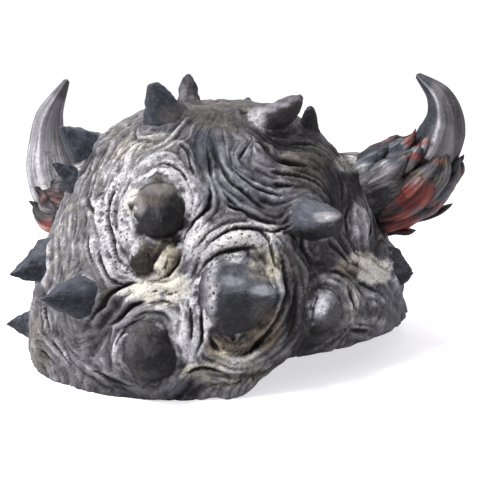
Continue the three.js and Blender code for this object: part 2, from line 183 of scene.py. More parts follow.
# Each side's stump, and the centre lines of its collar and its horn, as (out, forward, up, radius).
STUMP_FORWARD = 42
STUMP_RADIUS = 26
RIGHT = dict(
    side=-1, stump_out=103, stump_up=97, stump_tilt=18,
    collar=[(97, 42, 94, 25.5), (112, 42, 99.5, 26.5), (128, 41.5, 107, 25), (140, 41, 118, 20.5),
            (146, 41, 127, 12)],
    horn=[(130, 41, 110, 17), (142, 41, 122, 18.5), (149, 42, 137, 16.5), (150, 44, 149, 12.5),
          (146, 46, 160, 9), (133, 50, 173, 2.4)],
)
LEFT = dict(
    side=1, stump_out=112, stump_up=88, stump_tilt=10,
    collar=[(104, 42, 86.5, 25.5), (116, 42, 88, 26), (129, 41.5, 88.5, 24), (141, 41, 91, 20.5),
            (149, 41, 97, 12)],
    horn=[(132, 41, 84, 18), (143, 41, 99, 20), (148, 42, 118, 18.5), (148.5, 44, 137, 14.5),
          (146, 46, 155, 11), (131, 50, 181, 2.4)],
)
# The collars' flakes, ring by ring: where on the collar they start and end, how many there are, half
# their width in degrees round the collar, how far their tips stand off, and where the first one is.
FLAKE_RINGS = [
    dict(start=-0.12, end=0.5, count=6, spread=36, tip=4.5, turn=118, pointed=0.4),
    dict(start=0.08, end=0.74, count=8, spread=27, tip=5.5, turn=60, pointed=0.6),
    dict(start=0.34, end=0.96, count=9, spread=24, tip=6.5, turn=95, pointed=0.8),
    dict(start=0.58, end=1.08, count=9, spread=21, tip=7, turn=70, pointed=0.9),
]
# Flakes that stand off the collars: turn, start, end, half width in degrees, lift, how pointed.
FREE_FLAKES = {
    -1: [(100, -0.1, 0.34, 26, 9, 0.4), (84, 0.2, 0.6, 21, 10, 0.5), (112, 0.48, 0.86, 22, 6, 0.5),
         (205, 0.66, 1.1, 17, 8, 0.5), (232, 0.52, 1.02, 19, 9, 0.6), (262, 0.3, 0.84, 20, 8, 0.5),
         (160, 0.3, 0.8, 20, 5, 0.6)],
    1: [(150, 0.4, 1.0, 24, 8, 0.5), (196, 0.46, 1.08, 24, 9, 0.5), (236, 0.4, 1.0, 22, 9, 0.6)],
}
# The horns and flakes stay within this far of the middle, and a horn's flat lies at this turn.
WIDEST = 164.0
HORN_FLAT_TURN = -2.1
# The meshes of a horn, a collar, a spike and a flake.
HORN_SIDES, HORN_ROWS = 96, 150
COLLAR_SIDES, COLLAR_ROWS = 72, 60
SPIKE_SIDES, SPIKE_ROWS = 48, 34
FLAKE_ROWS = 20
FLAKE_COLUMNS = 15
# A flake that runs past its collar's end goes straight on, and is bent no tighter than this radius.
COLLAR_LENGTH = 62
FLAKE_BEND = 13

# The camera: behind the mask, to its right and a little above it.
CAMERA_TURN = 202
CAMERA_RISE = 10
CAMERA_ROLL = 3.5
CAMERA_DISTANCE = 700
CAMERA_AIM = np.array([0.0, 0.0, 80.0])
PICTURE_SIDE = 480
PIXELS_PER_MM = 1.47
AIM_PIXEL = (212, 226)

# Creases of the skin, read off the photograph in its pixels: path, depth and half width in mm.
CREASES = {
    "outer arch": ([(199, 262), (212, 242), (228, 231), (244, 228), (262, 232), (272, 256),
                    (276, 280)], 4.5, 1.9),
    "inner arch": ([(195, 283), (208, 262), (222, 254), (244, 249), (264, 250)], 4.5, 1.8),
    "right arc": ([(275, 238), (284, 268), (282, 300), (272, 325), (257, 345), (242, 354),
                   (222, 352)], 4.5, 2.0),
    "cone's lower edge": ([(217, 309), (222, 326), (232, 335), (233, 343)], 1.4, 1.6),
    "rim notch": ([(210, 335), (214, 345), (221, 352)], 4.0, 2.0),
    "upright": ([(196, 286), (201, 301), (203, 321), (202, 341), (194, 360)], 3.5, 1.5),
    "upright's twin": ([(187, 300), (193, 322), (190, 348)], 1.8, 1.2),
    "over the rim": ([(184, 373), (202, 369), (224, 371)], 3.5, 1.7),
    "low fold one": ([(140, 281), (128, 284), (113, 294), (104, 309), (85, 330)], 5.2, 2.1),
    "low fold two": ([(147, 302), (136, 305), (121, 319), (108, 327)], 6.0, 2.6),
    "low fold three": ([(147, 316), (135, 326), (124, 334), (115, 350)], 5.6, 2.3),
    "round the top spike one": ([(123, 173), (117, 186), (112, 200), (110, 219), (115, 242),
                                 (120, 258), (136, 273)], 4.0, 1.7),
    "round the top spike two": ([(146, 172), (132, 186), (123, 200), (121, 214)], 3.4, 1.5),
    "round the top spike three": ([(100, 246), (103, 262), (116, 281), (133, 284)], 3.0, 1.6),
    "round the top spike four": ([(150, 168), (168, 165), (184, 175), (191, 192)], 2.6, 1.4),
    "ear slot": ([(89, 197), (92, 206), (97, 216)], 3.8, 1.8),
    "deep valley": ([(206, 178), (210, 192), (208, 206), (200, 216), (192, 228), (187, 238),
                     (182, 251)], 3.2, 1.7),
    "valley's branch": ([(183, 251), (180, 262), (170, 276), (150, 282)], 3.0, 1.6),
    "crown fold one": ([(176, 143), (186, 152), (191, 166), (199, 185)], 2.2, 1.7),
    "crown fold two": ([(206, 148), (210, 166), (212, 184)], 1.7, 1.8),
    "crown fold three": ([(213, 148), (221, 168), (228, 180), (240, 192), (257, 206), (270, 213)], 3.0, 1.8),
    "crown fold four": ([(220, 190), (228, 201), (242, 212), (262, 222), (280, 224)], 3.3, 1.7),
    "crown fold five": ([(228, 166), (240, 178), (255, 189), (270, 196), (290, 200)], 3.2, 1.6),
    "black notch": ([(226, 205), (233, 210), (245, 213)], 5.0, 1.8),
    "flap": ([(247, 137), (250, 142), (243, 153), (236, 163)], 2.2, 1.0),
    "beside the flap": ([(250, 142), (262, 150), (272, 158)], 2.4, 1.5),
    "lump's slot one": ([(276, 160), (291, 164), (309, 168)], 4.6, 1.9),
    "lump's slot two": ([(270, 183), (281, 186), (295, 188)], 4.0, 1.6),
    "lump's slot three": ([(283, 148), (300, 146), (318, 150), (332, 160)], 3.0, 1.6),
    "lump's slot four": ([(262, 170), (275, 175), (300, 178), (320, 190), (330, 206)], 2.6, 1.6),
    "lump's end": ([(331, 168), (338, 184), (338, 206)], 3.2, 1.7),
    "under the lump": ([(250, 222), (268, 232), (285, 228), (303, 214)], 3.2, 1.8),
    "left drape one": ([(128, 128), (112, 148), (99, 174), (91, 202), (87, 232)], 2.8, 1.6),
    "left drape two": ([(112, 138), (96, 160), (84, 190), (77, 222), (74, 252)], 2.6, 1.6),
    "left drape three": ([(143, 140), (130, 152), (120, 168)], 2.4, 1.4),
    "left drape four": ([(90, 232), (91, 250), (96, 270)], 2.6, 1.5),
    "left drape five": ([(68, 205), (62, 228), (61, 250)], 2.2, 1.5),
    "left low one": ([(47, 305), (50, 320), (51, 332)], 3.2, 1.5),
    "left low two": ([(52, 338), (62, 350), (74, 368)], 3.0, 1.6),
    "left low three": ([(38, 348), (50, 356), (58, 366)], 2.4, 1.5),
    "meeting's line": ([(143, 293), (158, 292), (172, 295), (186, 289)], 2.4, 1.1),
    "meeting's lower line": ([(150, 303), (164, 301), (176, 305)], 2.2, 1.0),
    "cream fold's line": ([(160, 277), (168, 268), (174, 254)], 2.6, 1.0),
    "rim line left": ([(90, 366), (110, 378), (140, 386)], 2.2, 1.7),
    "under the side spike one": ([(300, 236), (303, 252), (312, 264)], 3.4, 1.8),
    "under the side spike two": ([(322, 240), (336, 254), (352, 268)], 4.0, 1.8),
    "under the side spike three": ([(340, 236), (350, 250), (356, 262)], 3.2, 1.6),
    "by the wart one": ([(344, 285), (350, 298), (354, 315)], 3.0, 1.5),
    "by the wart two": ([(327, 271), (338, 273), (347, 279)], 2.6, 1.4),
    "by the wart three": ([(356, 280), (366, 288), (378, 292)], 2.6, 1.4),
    "by the wart four": ([(345, 330), (358, 330), (372, 331)], 2.4, 1.5),
    "leaf's edge": ([(346, 206), (344, 222), (350, 242)], 3.4, 1.7),
    "leaf's far edge": ([(364, 206), (369, 224), (365, 244)], 3.0, 1.6),
    "crown line three": ([(236, 110), (246, 118), (262, 122)], 2.4, 1.5),
}

# Raised folds, read off in the same way: path, height and half width in mm.
RAISED_FOLDS = {
    "bright bump": ([(136, 200), (138, 207)], 4.0, 4.5),
    "cream fold": ([(158, 273), (167, 261), (177, 246)], 3.6, 4.2),
    "leaf": ([(356, 204), (357, 222), (359, 243)], 3.0, 6.0),
    "cream ridge": ([(348, 257), (362, 262), (376, 270), (386, 279)], 1.8, 2.4),
    "lower cream ridge": ([(344, 266), (358, 272), (374, 283)], 1.5, 2.0),
    "band between the arches": ([(203, 274), (213, 251), (230, 241), (250, 240), (264, 248)], 1.6, 4.5),
    "band over the arches": ([(190, 262), (203, 242), (222, 226), (244, 220), (264, 225)], 1.6, 3.5),
    "strand one": ([(183, 300), (187, 325), (183, 352)], 1.4, 2.2),
    "strand two": ([(191, 290), (197, 318), (196, 345)], 1.4, 2.2),
    "round the big spike": ([(268, 262), (279, 285), (277, 312), (262, 332), (240, 344)], 1.8, 3.0),
    "wart's ring": ([(308, 285), (322, 279), (340, 283), (350, 300)], 1.8, 3.0),
    "above the low spike": ([(130, 318), (146, 309), (164, 308), (178, 318)], 2.4, 2.0),
    "meeting's fold": ([(140, 289), (156, 286), (172, 289), (187, 283)], 1.6, 2.2),
    "crown streak": ([(172, 143), (180, 132), (192, 118)], 1.4, 1.3),
    "crown streak two": ([(178, 147), (190, 138), (198, 122)], 1.2, 1.2),
    "outer strand": ([(104, 190), (101, 212), (104, 236), (112, 258)], 1.6, 2.4),
    "second strand": ([(118, 178), (108, 200), (107, 226), (114, 250), (128, 268)], 1.4, 2.0),
}

# Paint by place, in the photograph's pixels: the middle of an area, how far it reaches across and
# down, how light its paint is, and how much of it is cream, brown, slate, red, pitted or smooth.
# Some areas' tones are painted shade or painted highlights, each marked where it stands.
AMOUNTS = ("tone", "cream", "brown", "slate", "red", "pits", "smooth")
PLAIN_SKIN = dict(tone=0.42, cream=0.15, brown=0.2, slate=0.15, pits=0.15, smooth=0.25)
PLAIN_HORN = dict(tone=0.55, cream=0.05, slate=0.1)
PLAIN_COLLAR = dict(tone=0.15, slate=0.3, brown=0.2)
PLAIN_WEIGHT = 0.04
SKIN_AREAS = {
    "left of the top spike": dict(at=(113, 218), reach=(16, 36), tone=0.94, cream=0.15, pits=0.9),
    "above the top spike": dict(at=(152, 170), reach=(26, 10), tone=0.86, cream=0.2, pits=0.5),
    "right of the top spike": dict(at=(190, 218), reach=(8, 28), tone=1.02, cream=0.1, pits=0.4),
    "bright bump": dict(at=(136, 204), reach=(7, 8), tone=1.05, cream=0.6),
    "top spike's crescent": dict(at=(188, 220), reach=(4, 22), tone=1.1, smooth=0.5),
    "below the top spike": dict(at=(130, 258), reach=(14, 14), tone=0.82, brown=0.2, pits=1),
    "cream fold": dict(at=(169, 258), reach=(8, 13), tone=0.62, cream=0.4, brown=0.9, pits=0.3),
    "cream fold's light edge": dict(at=(162, 266), reach=(4, 8), tone=0.95, cream=0.8),
    "small spike": dict(at=(146, 263), reach=(10, 12), tone=0.14, brown=0.7),
    "meeting of the folds": dict(at=(165, 289), reach=(27, 11), tone=1.35, cream=0.7, pits=0.1, smooth=0.2),
    "silver strands": dict(at=(193, 322), reach=(12, 34), tone=0.88, slate=0.2, pits=0.3),
    "arches": dict(at=(235, 243), reach=(32, 15), tone=0.9, cream=0.35, pits=0.8),
    "left of the big spike": dict(at=(208, 284), reach=(7, 26), tone=1.0, cream=0.1, pits=0.9),
    "big spike's cream side": dict(at=(264, 265), reach=(13, 12), tone=0.7, cream=0.8, pits=0.5, smooth=0.3),
    "under the big spike": dict(at=(262, 325), reach=(13, 16), tone=0.28, brown=1, smooth=0.3),
    "olive notch": dict(at=(224, 345), reach=(14, 8), tone=0.46, cream=0.3, brown=0.8),
    # Painted shade right of the big spike.
    "right of the big spike": dict(at=(293, 290), reach=(11, 42), tone=0.16, brown=0.4),
    "shade": dict(at=(304, 325), reach=(17, 34), tone=-0.02, brown=0.1, smooth=0.5),
    "over the rim": dict(at=(222, 368), reach=(34, 14), tone=0.52, cream=0.5, brown=0.4),
    # Painted shade along the right of the rim.
    "right of the rim": dict(at=(306, 360), reach=(26, 10), tone=0.16, smooth=0.5),
    "round the wart": dict(at=(340, 298), reach=(16, 20), tone=0.56, cream=0.35),
    "cream patch": dict(at=(357, 261), reach=(10, 6), tone=1.1, cream=0.7, pits=0.1),
    "cream patch's lower end": dict(at=(374, 273), reach=(12, 7), tone=1.2, cream=0.6, pits=0.1),
    "patch's long stroke": dict(at=(351, 272), reach=(3, 6), tone=0.4, brown=0.6),
    "olive edge": dict(at=(345, 268), reach=(9, 9), tone=0.42, cream=0.4, brown=0.7),
    # Painted shade under the side spike.
    "under the side spike": dict(at=(326, 252), reach=(20, 12), tone=0.12, brown=0.2),
    "leaf": dict(at=(357, 222), reach=(8, 20), tone=0.56, brown=0.2, pits=0.3, smooth=1),
    "right flank": dict(at=(384, 312), reach=(24, 22), tone=0.36, slate=0.4, smooth=0.9),
    "right flank's light brushing": dict(at=(370, 300), reach=(9, 5), tone=0.66, slate=0.3, smooth=0.6),
    "right flank's lower brushing": dict(at=(366, 322), reach=(12, 4), tone=0.62, cream=0.3, smooth=0.6),
    "right rim": dict(at=(345, 345), reach=(22, 10), tone=0.34, cream=0.3, smooth=0.6),
    "lump": dict(at=(300, 165), reach=(40, 24), tone=0.27, brown=0.5, smooth=0.2),
    # Painted shade behind the lump.
    "behind the lump": dict(at=(342, 192), reach=(14, 22), tone=0.1, smooth=0.3),
    "tongue's foot": dict(at=(346, 166), reach=(9, 6), tone=0.8, cream=0.5, pits=0.6),
    "beside the leaf": dict(at=(374, 230), reach=(6, 16), tone=0.2),
    "middle folds": dict(at=(248, 178), reach=(36, 30), tone=0.6, slate=0.5),
    "crown": dict(at=(222, 115), reach=(36, 13), tone=0.36, brown=0.5, smooth=0.8),
    # Painted shade under the crown spike.
    "under the crown spike": dict(at=(282, 143), reach=(18, 7), tone=0.06, brown=0.3),
    "shaded crown folds": dict(at=(205, 151), reach=(9, 13), tone=0.26, slate=0.8),
    "crown's right": dict(at=(292, 128), reach=(32, 12), tone=0.2, smooth=0.6),
    "crown's left": dict(at=(135, 140), reach=(28, 20), tone=0.68, cream=0.3, brown=0.4, pits=0.4),
    "front spike's foot": dict(at=(160, 128), reach=(20, 5), tone=0.4, slate=0.2),
    "left drapes": dict(at=(88, 195), reach=(28, 42), tone=0.6, cream=0.35, brown=0.15, pits=0.3, smooth=0.6),
    "left cheek": dict(at=(74, 262), reach=(26, 28), tone=0.58, cream=0.3, slate=0.15, smooth=0.85),
    "dark low folds": dict(at=(112, 318), reach=(16, 14), tone=0.33, slate=0.3),
    "left spike's root": dict(at=(106, 304), reach=(9, 11), tone=0.16, brown=0.5),
    "low left": dict(at=(80, 348), reach=(36, 24), tone=0.56, slate=0.2, smooth=0.8),
    "low corner": dict(at=(41, 350), reach=(9, 24), tone=0.36, cream=0.4, brown=0.5),
    "low middle": dict(at=(150, 386), reach=(36, 9), tone=0.24, slate=0.4, smooth=0.6),
}
SPIKE_AREAS = {
    # Painted highlight: the top spike's upper flank is painted light where light from above falls, over brown
    # paint.
    "top spike's cap": dict(at=(158, 189), reach=(17, 6), tone=0.7, brown=0.6),
    "top spike's brow": dict(at=(152, 200), reach=(12, 6), tone=0.36, brown=0.9),
    "top spike's rim": dict(at=(140, 204), reach=(5, 9), tone=0.75, brown=0.4, cream=0.4),
    # Painted shade: the top spike's end faces down, away from the light.
    "top spike's end": dict(at=(163, 222), reach=(23, 17), tone=-0.15),
    "big spike's cream flank": dict(at=(263, 270), reach=(15, 10), tone=0.6, cream=0.8),
    # Painted highlights on the big spike's top and along its ridge.
    "big spike's top": dict(at=(231, 281), reach=(10, 4), tone=0.66, slate=0.5),
    "big spike's ridge": dict(at=(265, 290), reach=(11, 4), tone=0.7, slate=0.5),
    "big spike's olive flank": dict(at=(265, 319), reach=(13, 15), tone=0.34, brown=0.9),
    "big spike's left edge": dict(at=(211, 292), reach=(5, 22), tone=0.95, cream=0.1, pits=1.2),
    "big spike's middle": dict(at=(238, 304), reach=(11, 8), tone=0.04, slate=0.6),
    "big spike's dark foot": dict(at=(231, 322), reach=(16, 8), tone=0.0, slate=0.2),
    "low spike's rim": dict(at=(129, 342), reach=(6, 12), tone=0.42),
    "low spike's laps": dict(at=(150, 326), reach=(20, 6), tone=0.3, brown=0.4),
    "low spike's right edge": dict(at=(181, 345), reach=(5, 22), tone=0.36),
    # Painted shade: the low spike's end faces down, away from the light.
    "low spike's end": dict(at=(154, 352), reach=(18, 17), tone=-0.08, slate=0.3),
    "small spike": dict(at=(145, 263), reach=(12, 13), tone=0.12, brown=0.7),
    "wart's silver": dict(at=(317, 306), reach=(9, 11), tone=0.95, slate=0.5, pits=0.5),
    "wart's foot": dict(at=(340, 316), reach=(10, 12), tone=0.3, brown=0.4),
    "side spike's white streak": dict(at=(325, 217), reach=(12, 4), tone=0.8),
    "side spike's facet": dict(at=(306, 219), reach=(11, 9), tone=0.5, slate=0.8),
    "side spike's end": dict(at=(333, 230), reach=(8, 6), tone=0.2, slate=0.4),
    # Painted shade on the side spike's underside.
    "side spike's underside": dict(at=(316, 236), reach=(22, 6), tone=0.05),
    "side spike's tip": dict(at=(342, 226), reach=(5, 7), tone=0.08),
    # A painted highlight along the crown spike's upper edge, in three areas.
    "crown spike's upper line": dict(at=(266, 110), reach=(8, 2), tone=0.8, cream=0.2),
    "crown spike's line": dict(at=(279, 105), reach=(8, 2), tone=0.66),
    "crown spike's upper tip": dict(at=(292, 99), reach=(8, 2), tone=0.46),
    "crown spike's foot": dict(at=(256, 120), reach=(8, 10), tone=1.0, cream=0.2),
    # Painted shade on the crown spike's belly, its underside.
    "crown spike's belly": dict(at=(287, 117), reach=(19, 10), tone=0.1, brown=0.3),
    "left crown spike's foot": dict(at=(174, 116), reach=(12, 8), tone=0.45, brown=0.5),
    # A painted highlight streak on the far crown spike.
    "far crown spike's streak": dict(at=(182, 92), reach=(3, 6), tone=0.5),
}
COLLAR_AREAS = {
    "first flake": dict(at=(365, 152), reach=(12, 10), tone=0.12, slate=1),
    "second flake": dict(at=(390, 146), reach=(12, 12), tone=0.3, slate=0.8),
    "its tip": dict(at=(399, 130), reach=(4, 4), tone=0.8, cream=0.3),
    "red flake": dict(at=(415, 140), reach=(10, 6), tone=0.38, red=1),
    "grey strip": dict(at=(418, 149), reach=(13, 3), tone=0.5, brown=0.3),
    "red strip": dict(at=(421, 156), reach=(15, 3), tone=0.52, red=0.8),
    "rusty spot": dict(at=(440, 162), reach=(5, 4), tone=0.5, red=0.6, brown=1),
    "blue patch": dict(at=(431, 168), reach=(8, 5), tone=0.12, slate=1),
    "dark tip": dict(at=(453, 174), reach=(7, 7), tone=0.2, slate=0.3),
    "green tip": dict(at=(445, 198), reach=(7, 8), tone=0.36, slate=0.5),
    "small tips": dict(at=(425, 211), reach=(10, 5), tone=0.1),
    "tongue": dict(at=(377, 175), reach=(17, 10), tone=0.44, slate=0.2),
    "tongue's root": dict(at=(364, 170), reach=(9, 7), tone=1.1, cream=0.4, pits=0.6),
    "root's red": dict(at=(350, 155), reach=(5, 3), tone=0.7, red=0.8),
    "brown strips": dict(at=(415, 178), reach=(30, 8), tone=0.42, brown=0.7),
    "red glow": dict(at=(418, 196), reach=(20, 12), tone=0.42, red=1),
    "black lobe": dict(at=(380, 212), reach=(18, 20), tone=-0.05),
    "black lobe's low end": dict(at=(378, 222), reach=(12, 12), tone=0.0),
    "red crescent": dict(at=(398, 226), reach=(13, 9), tone=0.4, red=1),
    "left collar's upper flake": dict(at=(50, 199), reach=(10, 7), tone=0.2, red=0.45),
    "left collar's low flake": dict(at=(36, 215), reach=(10, 7), tone=0.16, brown=0.5),
    "left collar's red tip": dict(at=(42, 229), reach=(9, 7), tone=0.5, red=1),
}
HORN_AREAS = {
    "right horn's inner side": dict(at=(425, 105), reach=(9, 26), tone=0.34, slate=0.9),
    "right horn's tip": dict(at=(414, 77), reach=(8, 6), tone=0.32, slate=0.4),
    "right horn's ridge": dict(at=(436, 96), reach=(5, 10), tone=0.5),
    "right horn's bend": dict(at=(450, 108), reach=(13, 13), tone=0.34),
    "right horn's light patch": dict(at=(441, 142), reach=(11, 16), tone=0.56, cream=0.2),
    "right horn's outer edge": dict(at=(461, 145), reach=(5, 24), tone=0.36),
    "left horn's tip": dict(at=(62, 85), reach=(9, 10), tone=0.42, slate=0.1),
    "left horn's upper part": dict(at=(46, 115), reach=(20, 24), tone=0.68, slate=0.3),
    "left horn's low part": dict(at=(46, 172), reach=(24, 24), tone=0.84, slate=0.25),
    "left horn's shaded side": dict(at=(74, 142), reach=(7, 16), tone=0.42, slate=0.1),
}


def step_between(value, low, high):
    """A smooth step from 0 at low to 1 at high."""
    share = np.clip((value - low) / (high - low), 0, 1)
    return share * share * (3 - 2 * share)


def bump(distance, reach):
    """A soft bump, 1 in its middle."""
    return np.exp(-((distance / reach) ** 2))


def levelled(values, knee, room, reach):
    """The same values up to the knee, and above it a soft climb of this much room."""
    return np.where(values > knee, knee + room * np.tanh((values - knee) / reach), values)


def creased(values, limit):
    """Rounded folds with sharp valleys between them, from noise about 0."""
    return np.minimum(np.abs(values), limit) ** 0.8


def bell_point(around, down, inset=0.0):
    """The point of the plain bell at a turn around the head and an angle down from the crown."""
    share = np.sin(np.radians(down)) ** (2 / SHOULDER_ROUNDNESS)
    rise = np.clip(np.cos(np.radians(down)), 0, 1) ** (2 / CROWN_ROUNDNESS)
    return np.stack([
        (HOOD_HALF_WIDTH - inset) * share * np.sin(np.radians(around)),
        (HOOD_HALF_DEPTH - inset) * share * np.cos(np.radians(around)),
        (HOOD_HEIGHT - inset) * rise * np.ones_like(share),
    ], -1)


def down_at(height, inset=0.0):
    """The angle down from the crown at which the bell has this height."""
    share = np.clip(height / (HOOD_HEIGHT - inset), 0, 1)
    return np.degrees(np.arccos(share ** (CROWN_ROUNDNESS / 2)))


def unit(vectors):
    return vectors / np.linalg.norm(vectors, axis=-1, keepdims=True)


def bell_normal(around, down):
    """The way the plain bell faces."""
    step = 0.4
    low = np.maximum(down, 1.5)
    along_ring = bell_point(around + step, low) - bell_point(around - step, low)
    along_rib = bell_point(around, low + step) - bell_point(around, low - step)
    return -unit(np.cross(along_rib, along_ring))


def on_bell(around, height):
    """The point of the plain bell at a turn around the head and a height."""
    return bell_point(np.float64(around), down_at(np.float64(height)))


def direction(around, up):
    """A direction from a turn around the head and an angle up from level."""
    return np.array([
        sin(radians(around)) * cos(radians(up)),
        cos(radians(around)) * cos(radians(up)),
        sin(radians(up)),
    ])


def noise(points, size, seed):
    """Smooth noise from about -1 to 1, with lumps of this size in millimetres."""
    lattice = np.random.default_rng(seed).uniform(-1.4, 1.4, (32, 32, 32))
    place = points / size + 16.37
    cell = np.floor(place).astype(int)
    share = place - cell
    share = share * share * (3 - 2 * share)
    total = np.zeros(points.shape[:-1])
    for corner in np.ndindex(2, 2, 2):
        weight = np.prod(np.where(np.array(corner) > 0, share, 1 - share), axis=-1)
        index = (cell + np.array(corner)) % 32
        total += weight * lattice[index[..., 0], index[..., 1], index[..., 2]]
    return total


def camera_frame():
    """The camera's place and its right, up and forward directions."""
    back = np.array([
        sin(radians(CAMERA_TURN)) * cos(radians(CAMERA_RISE)),
        -cos(radians(CAMERA_TURN)) * cos(radians(CAMERA_RISE)),
        sin(radians(CAMERA_RISE)),
    ])
    level = unit(np.cross(-back, [0, 0, 1.0]))
    upright = np.cross(level, -back)
    roll = radians(CAMERA_ROLL)
    right = cos(roll) * level - sin(roll) * upright
    up = sin(roll) * level + cos(roll) * upright
    return CAMERA_AIM + back * CAMERA_DISTANCE, right, up, -back


def seen_at(points):
    """Where the camera sees these points, in the photograph's pixels."""
    place, right, up, forward = camera_frame()
    offset = points - place
    depth = offset @ forward
    focal = PIXELS_PER_MM * CAMERA_DISTANCE
    return np.stack([
        AIM_PIXEL[0] + focal * (offset @ right) / depth,
        AIM_PIXEL[1] - focal * (offset @ up) / depth,
    ], -1)


def facing(points, normals):
    """How squarely these faces look at the camera: 1 straight at it, below 0 away from it."""
    place = camera_frame()[0]
    return np.sum(unit(place - points) * normals, -1)


def rim_lift(around):
    """How much higher the rim is cut here than at the front and the back."""
    turn = (around + 180) % 360 - 180
    right = step_between(-turn, 23, 40) * (1 - step_between(-turn, 92, 140))
    left = step_between(turn, 82, 100) * (1 - step_between(turn, 122, 145))
    return RIM_LIFT_RIGHT * right + RIM_LIFT_LEFT * left


def distance_to_line(points, start, end):
    line = end - start
    share = np.clip((points - start) @ line / (line @ line), 0, 1)
    return np.linalg.norm(points - start - share[..., None] * line, axis=-1)


def smooth_line(stations, samples):
    """A centripetal curve through stations of (out, forward, up, radius), with its tangents."""
    knots = np.array(stations, float)
    padded = np.vstack([2 * knots[0] - knots[1], knots, 2 * knots[-1] - knots[-2]])
    centres = []
    tangents = []
    radii = []
    for along in samples:
        place = along * (len(knots) - 1)
        index = min(int(place), len(knots) - 2)
        share = place - index
        p0, p1, p2, p3 = padded[index:index + 4, :3]
        spans = (p1 - p0, p2 - p1, p3 - p2)
        gap0, gap1, gap2 = (max(np.linalg.norm(span), 1e-4) ** 0.5 for span in spans)
        slope1 = ((p1 - p0) / gap0 - (p2 - p0) / (gap0 + gap1) + (p2 - p1) / gap1) * gap1
        slope2 = ((p2 - p1) / gap1 - (p3 - p1) / (gap1 + gap2) + (p3 - p2) / gap2) * gap1
        square = -3 * p1 + 3 * p2 - 2 * slope1 - slope2
        cube = 2 * p1 - 2 * p2 + slope1 + slope2
        centres.append(p1 + slope1 * share + square * share ** 2 + cube * share ** 3)
        tangents.append(slope1 + 2 * square * share + 3 * cube * share ** 2)
        radii.append(knots[index, 3] * (1 - share) + knots[index + 1, 3] * share)
    return np.array(centres), unit(np.array(tangents)), np.array(radii)


def set_fields(mesh, fields):
    """Gives a mesh a value for each of its points in each named field."""
    for field, values in fields.items():
        attribute = mesh.attributes.new(field, "FLOAT", "POINT")
        attribute.data.foreach_set("value", np.asarray(values, np.float32).ravel())


def mesh_piece(name, points, faces, fields=None):
    """A mesh object from points in millimetres, with a value for each point in each named field."""
    mesh = bpy.data.meshes.new(name)
    mesh.from_pydata(((points + AXIS) * MM).tolist(), [], [tuple(face) for face in faces])
    # Faces that look outwards enclose more than nothing.
    measured = bmesh.new()
    measured.from_mesh(mesh)
    if measured.calc_volume(signed=True) < 0:
        mesh.flip_normals()
    measured.free()
    set_fields(mesh, fields or {})
    mesh.shade_smooth()
    mesh.update()
    piece = bpy.data.objects.new(name, mesh)
    bpy.context.scene.collection.objects.link(piece)
    return piece


def ring_faces(rows, columns, first=0):
    """Quads between rows of points that each run once round and close on themselves."""
    here = np.arange(columns)
    after = (here + 1) % columns
    quads = []
    for row in range(rows - 1):
        low = first + row * columns
        high = low + columns
        quads.append(np.stack([low + here, high + here, high + after, low + after], -1))
    return np.concatenate(quads).tolist()


def fan_faces(pole, ring, flipped=False):
    """Triangles from a pole to a closed ring of points."""
    after = ring[1:] + ring[:1]
    if flipped:
        return [(pole, b, a) for a, b in zip(ring, after)]
    return [(pole, a, b) for a, b in zip(ring, after)]


def tube_faces(rows, columns):
    """The faces of a closed tube: the pole that is point 0, rows of points, and the last pole."""
    last = rows * columns + 1
    faces = fan_faces(0, list(range(1, columns + 1)))
    faces += ring_faces(rows, columns, 1)
    return faces + fan_faces(last, list(range(last - columns, last)), flipped=True)


def blurred(field, reach):
    """A field over the skin's rows and columns, averaged over this many points each way."""
    taps = np.arange(-3 * reach, 3 * reach + 1)
    weights = np.exp(-0.5 * (taps / reach) ** 2)
    weights /= weights.sum()
    columns = sum(weight * np.roll(field, tap, axis=1) for weight, tap in zip(weights, taps))
    padded = np.pad(columns, ((3 * reach, 3 * reach), (0, 0)), mode="edge")
    starts = 3 * reach + taps
    return sum(weight * padded[start:start + len(field)] for weight, start in zip(weights, starts))


def swept_rise(points, normals, centres, radii):
    """How high a soft ridge along these centres stands over the bell, measured along its normals."""
    rise = np.zeros(points.shape[:-1])
    for centre, radius in zip(centres, radii):
        offset = centre - points
        over = np.sum(offset * normals, -1)
        beside = np.sqrt(np.maximum(np.sum(offset * offset, -1) - over ** 2, 0))
        rise = np.maximum(rise, (over + radius) * np.exp(-((beside / (1.15 * radius)) ** 2.4)))
    return rise


def stump_rise(points, normals, temple):
    """How high the stump that carries a horn stands over the bell."""
    tilt = radians(temple["stump_tilt"])
    axis = np.array([temple["side"] * cos(tilt), 0, sin(tilt)])
    centre = np.array([temple["side"] * temple["stump_out"], -STUMP_FORWARD, temple["stump_up"]])
    towards = normals @ axis
    height = ((centre - points) @ axis) / np.maximum(towards, 0.3) - 0.5
    top = points + normals * height[..., None] - centre
    beside = np.linalg.norm(top - (top @ axis)[..., None] * axis, axis=-1)
    share = 1 - step_between(beside, STUMP_RADIUS - 1, STUMP_RADIUS + 13)
    return np.where(towards > 0.3, np.maximum(height, 0) * share, 0)


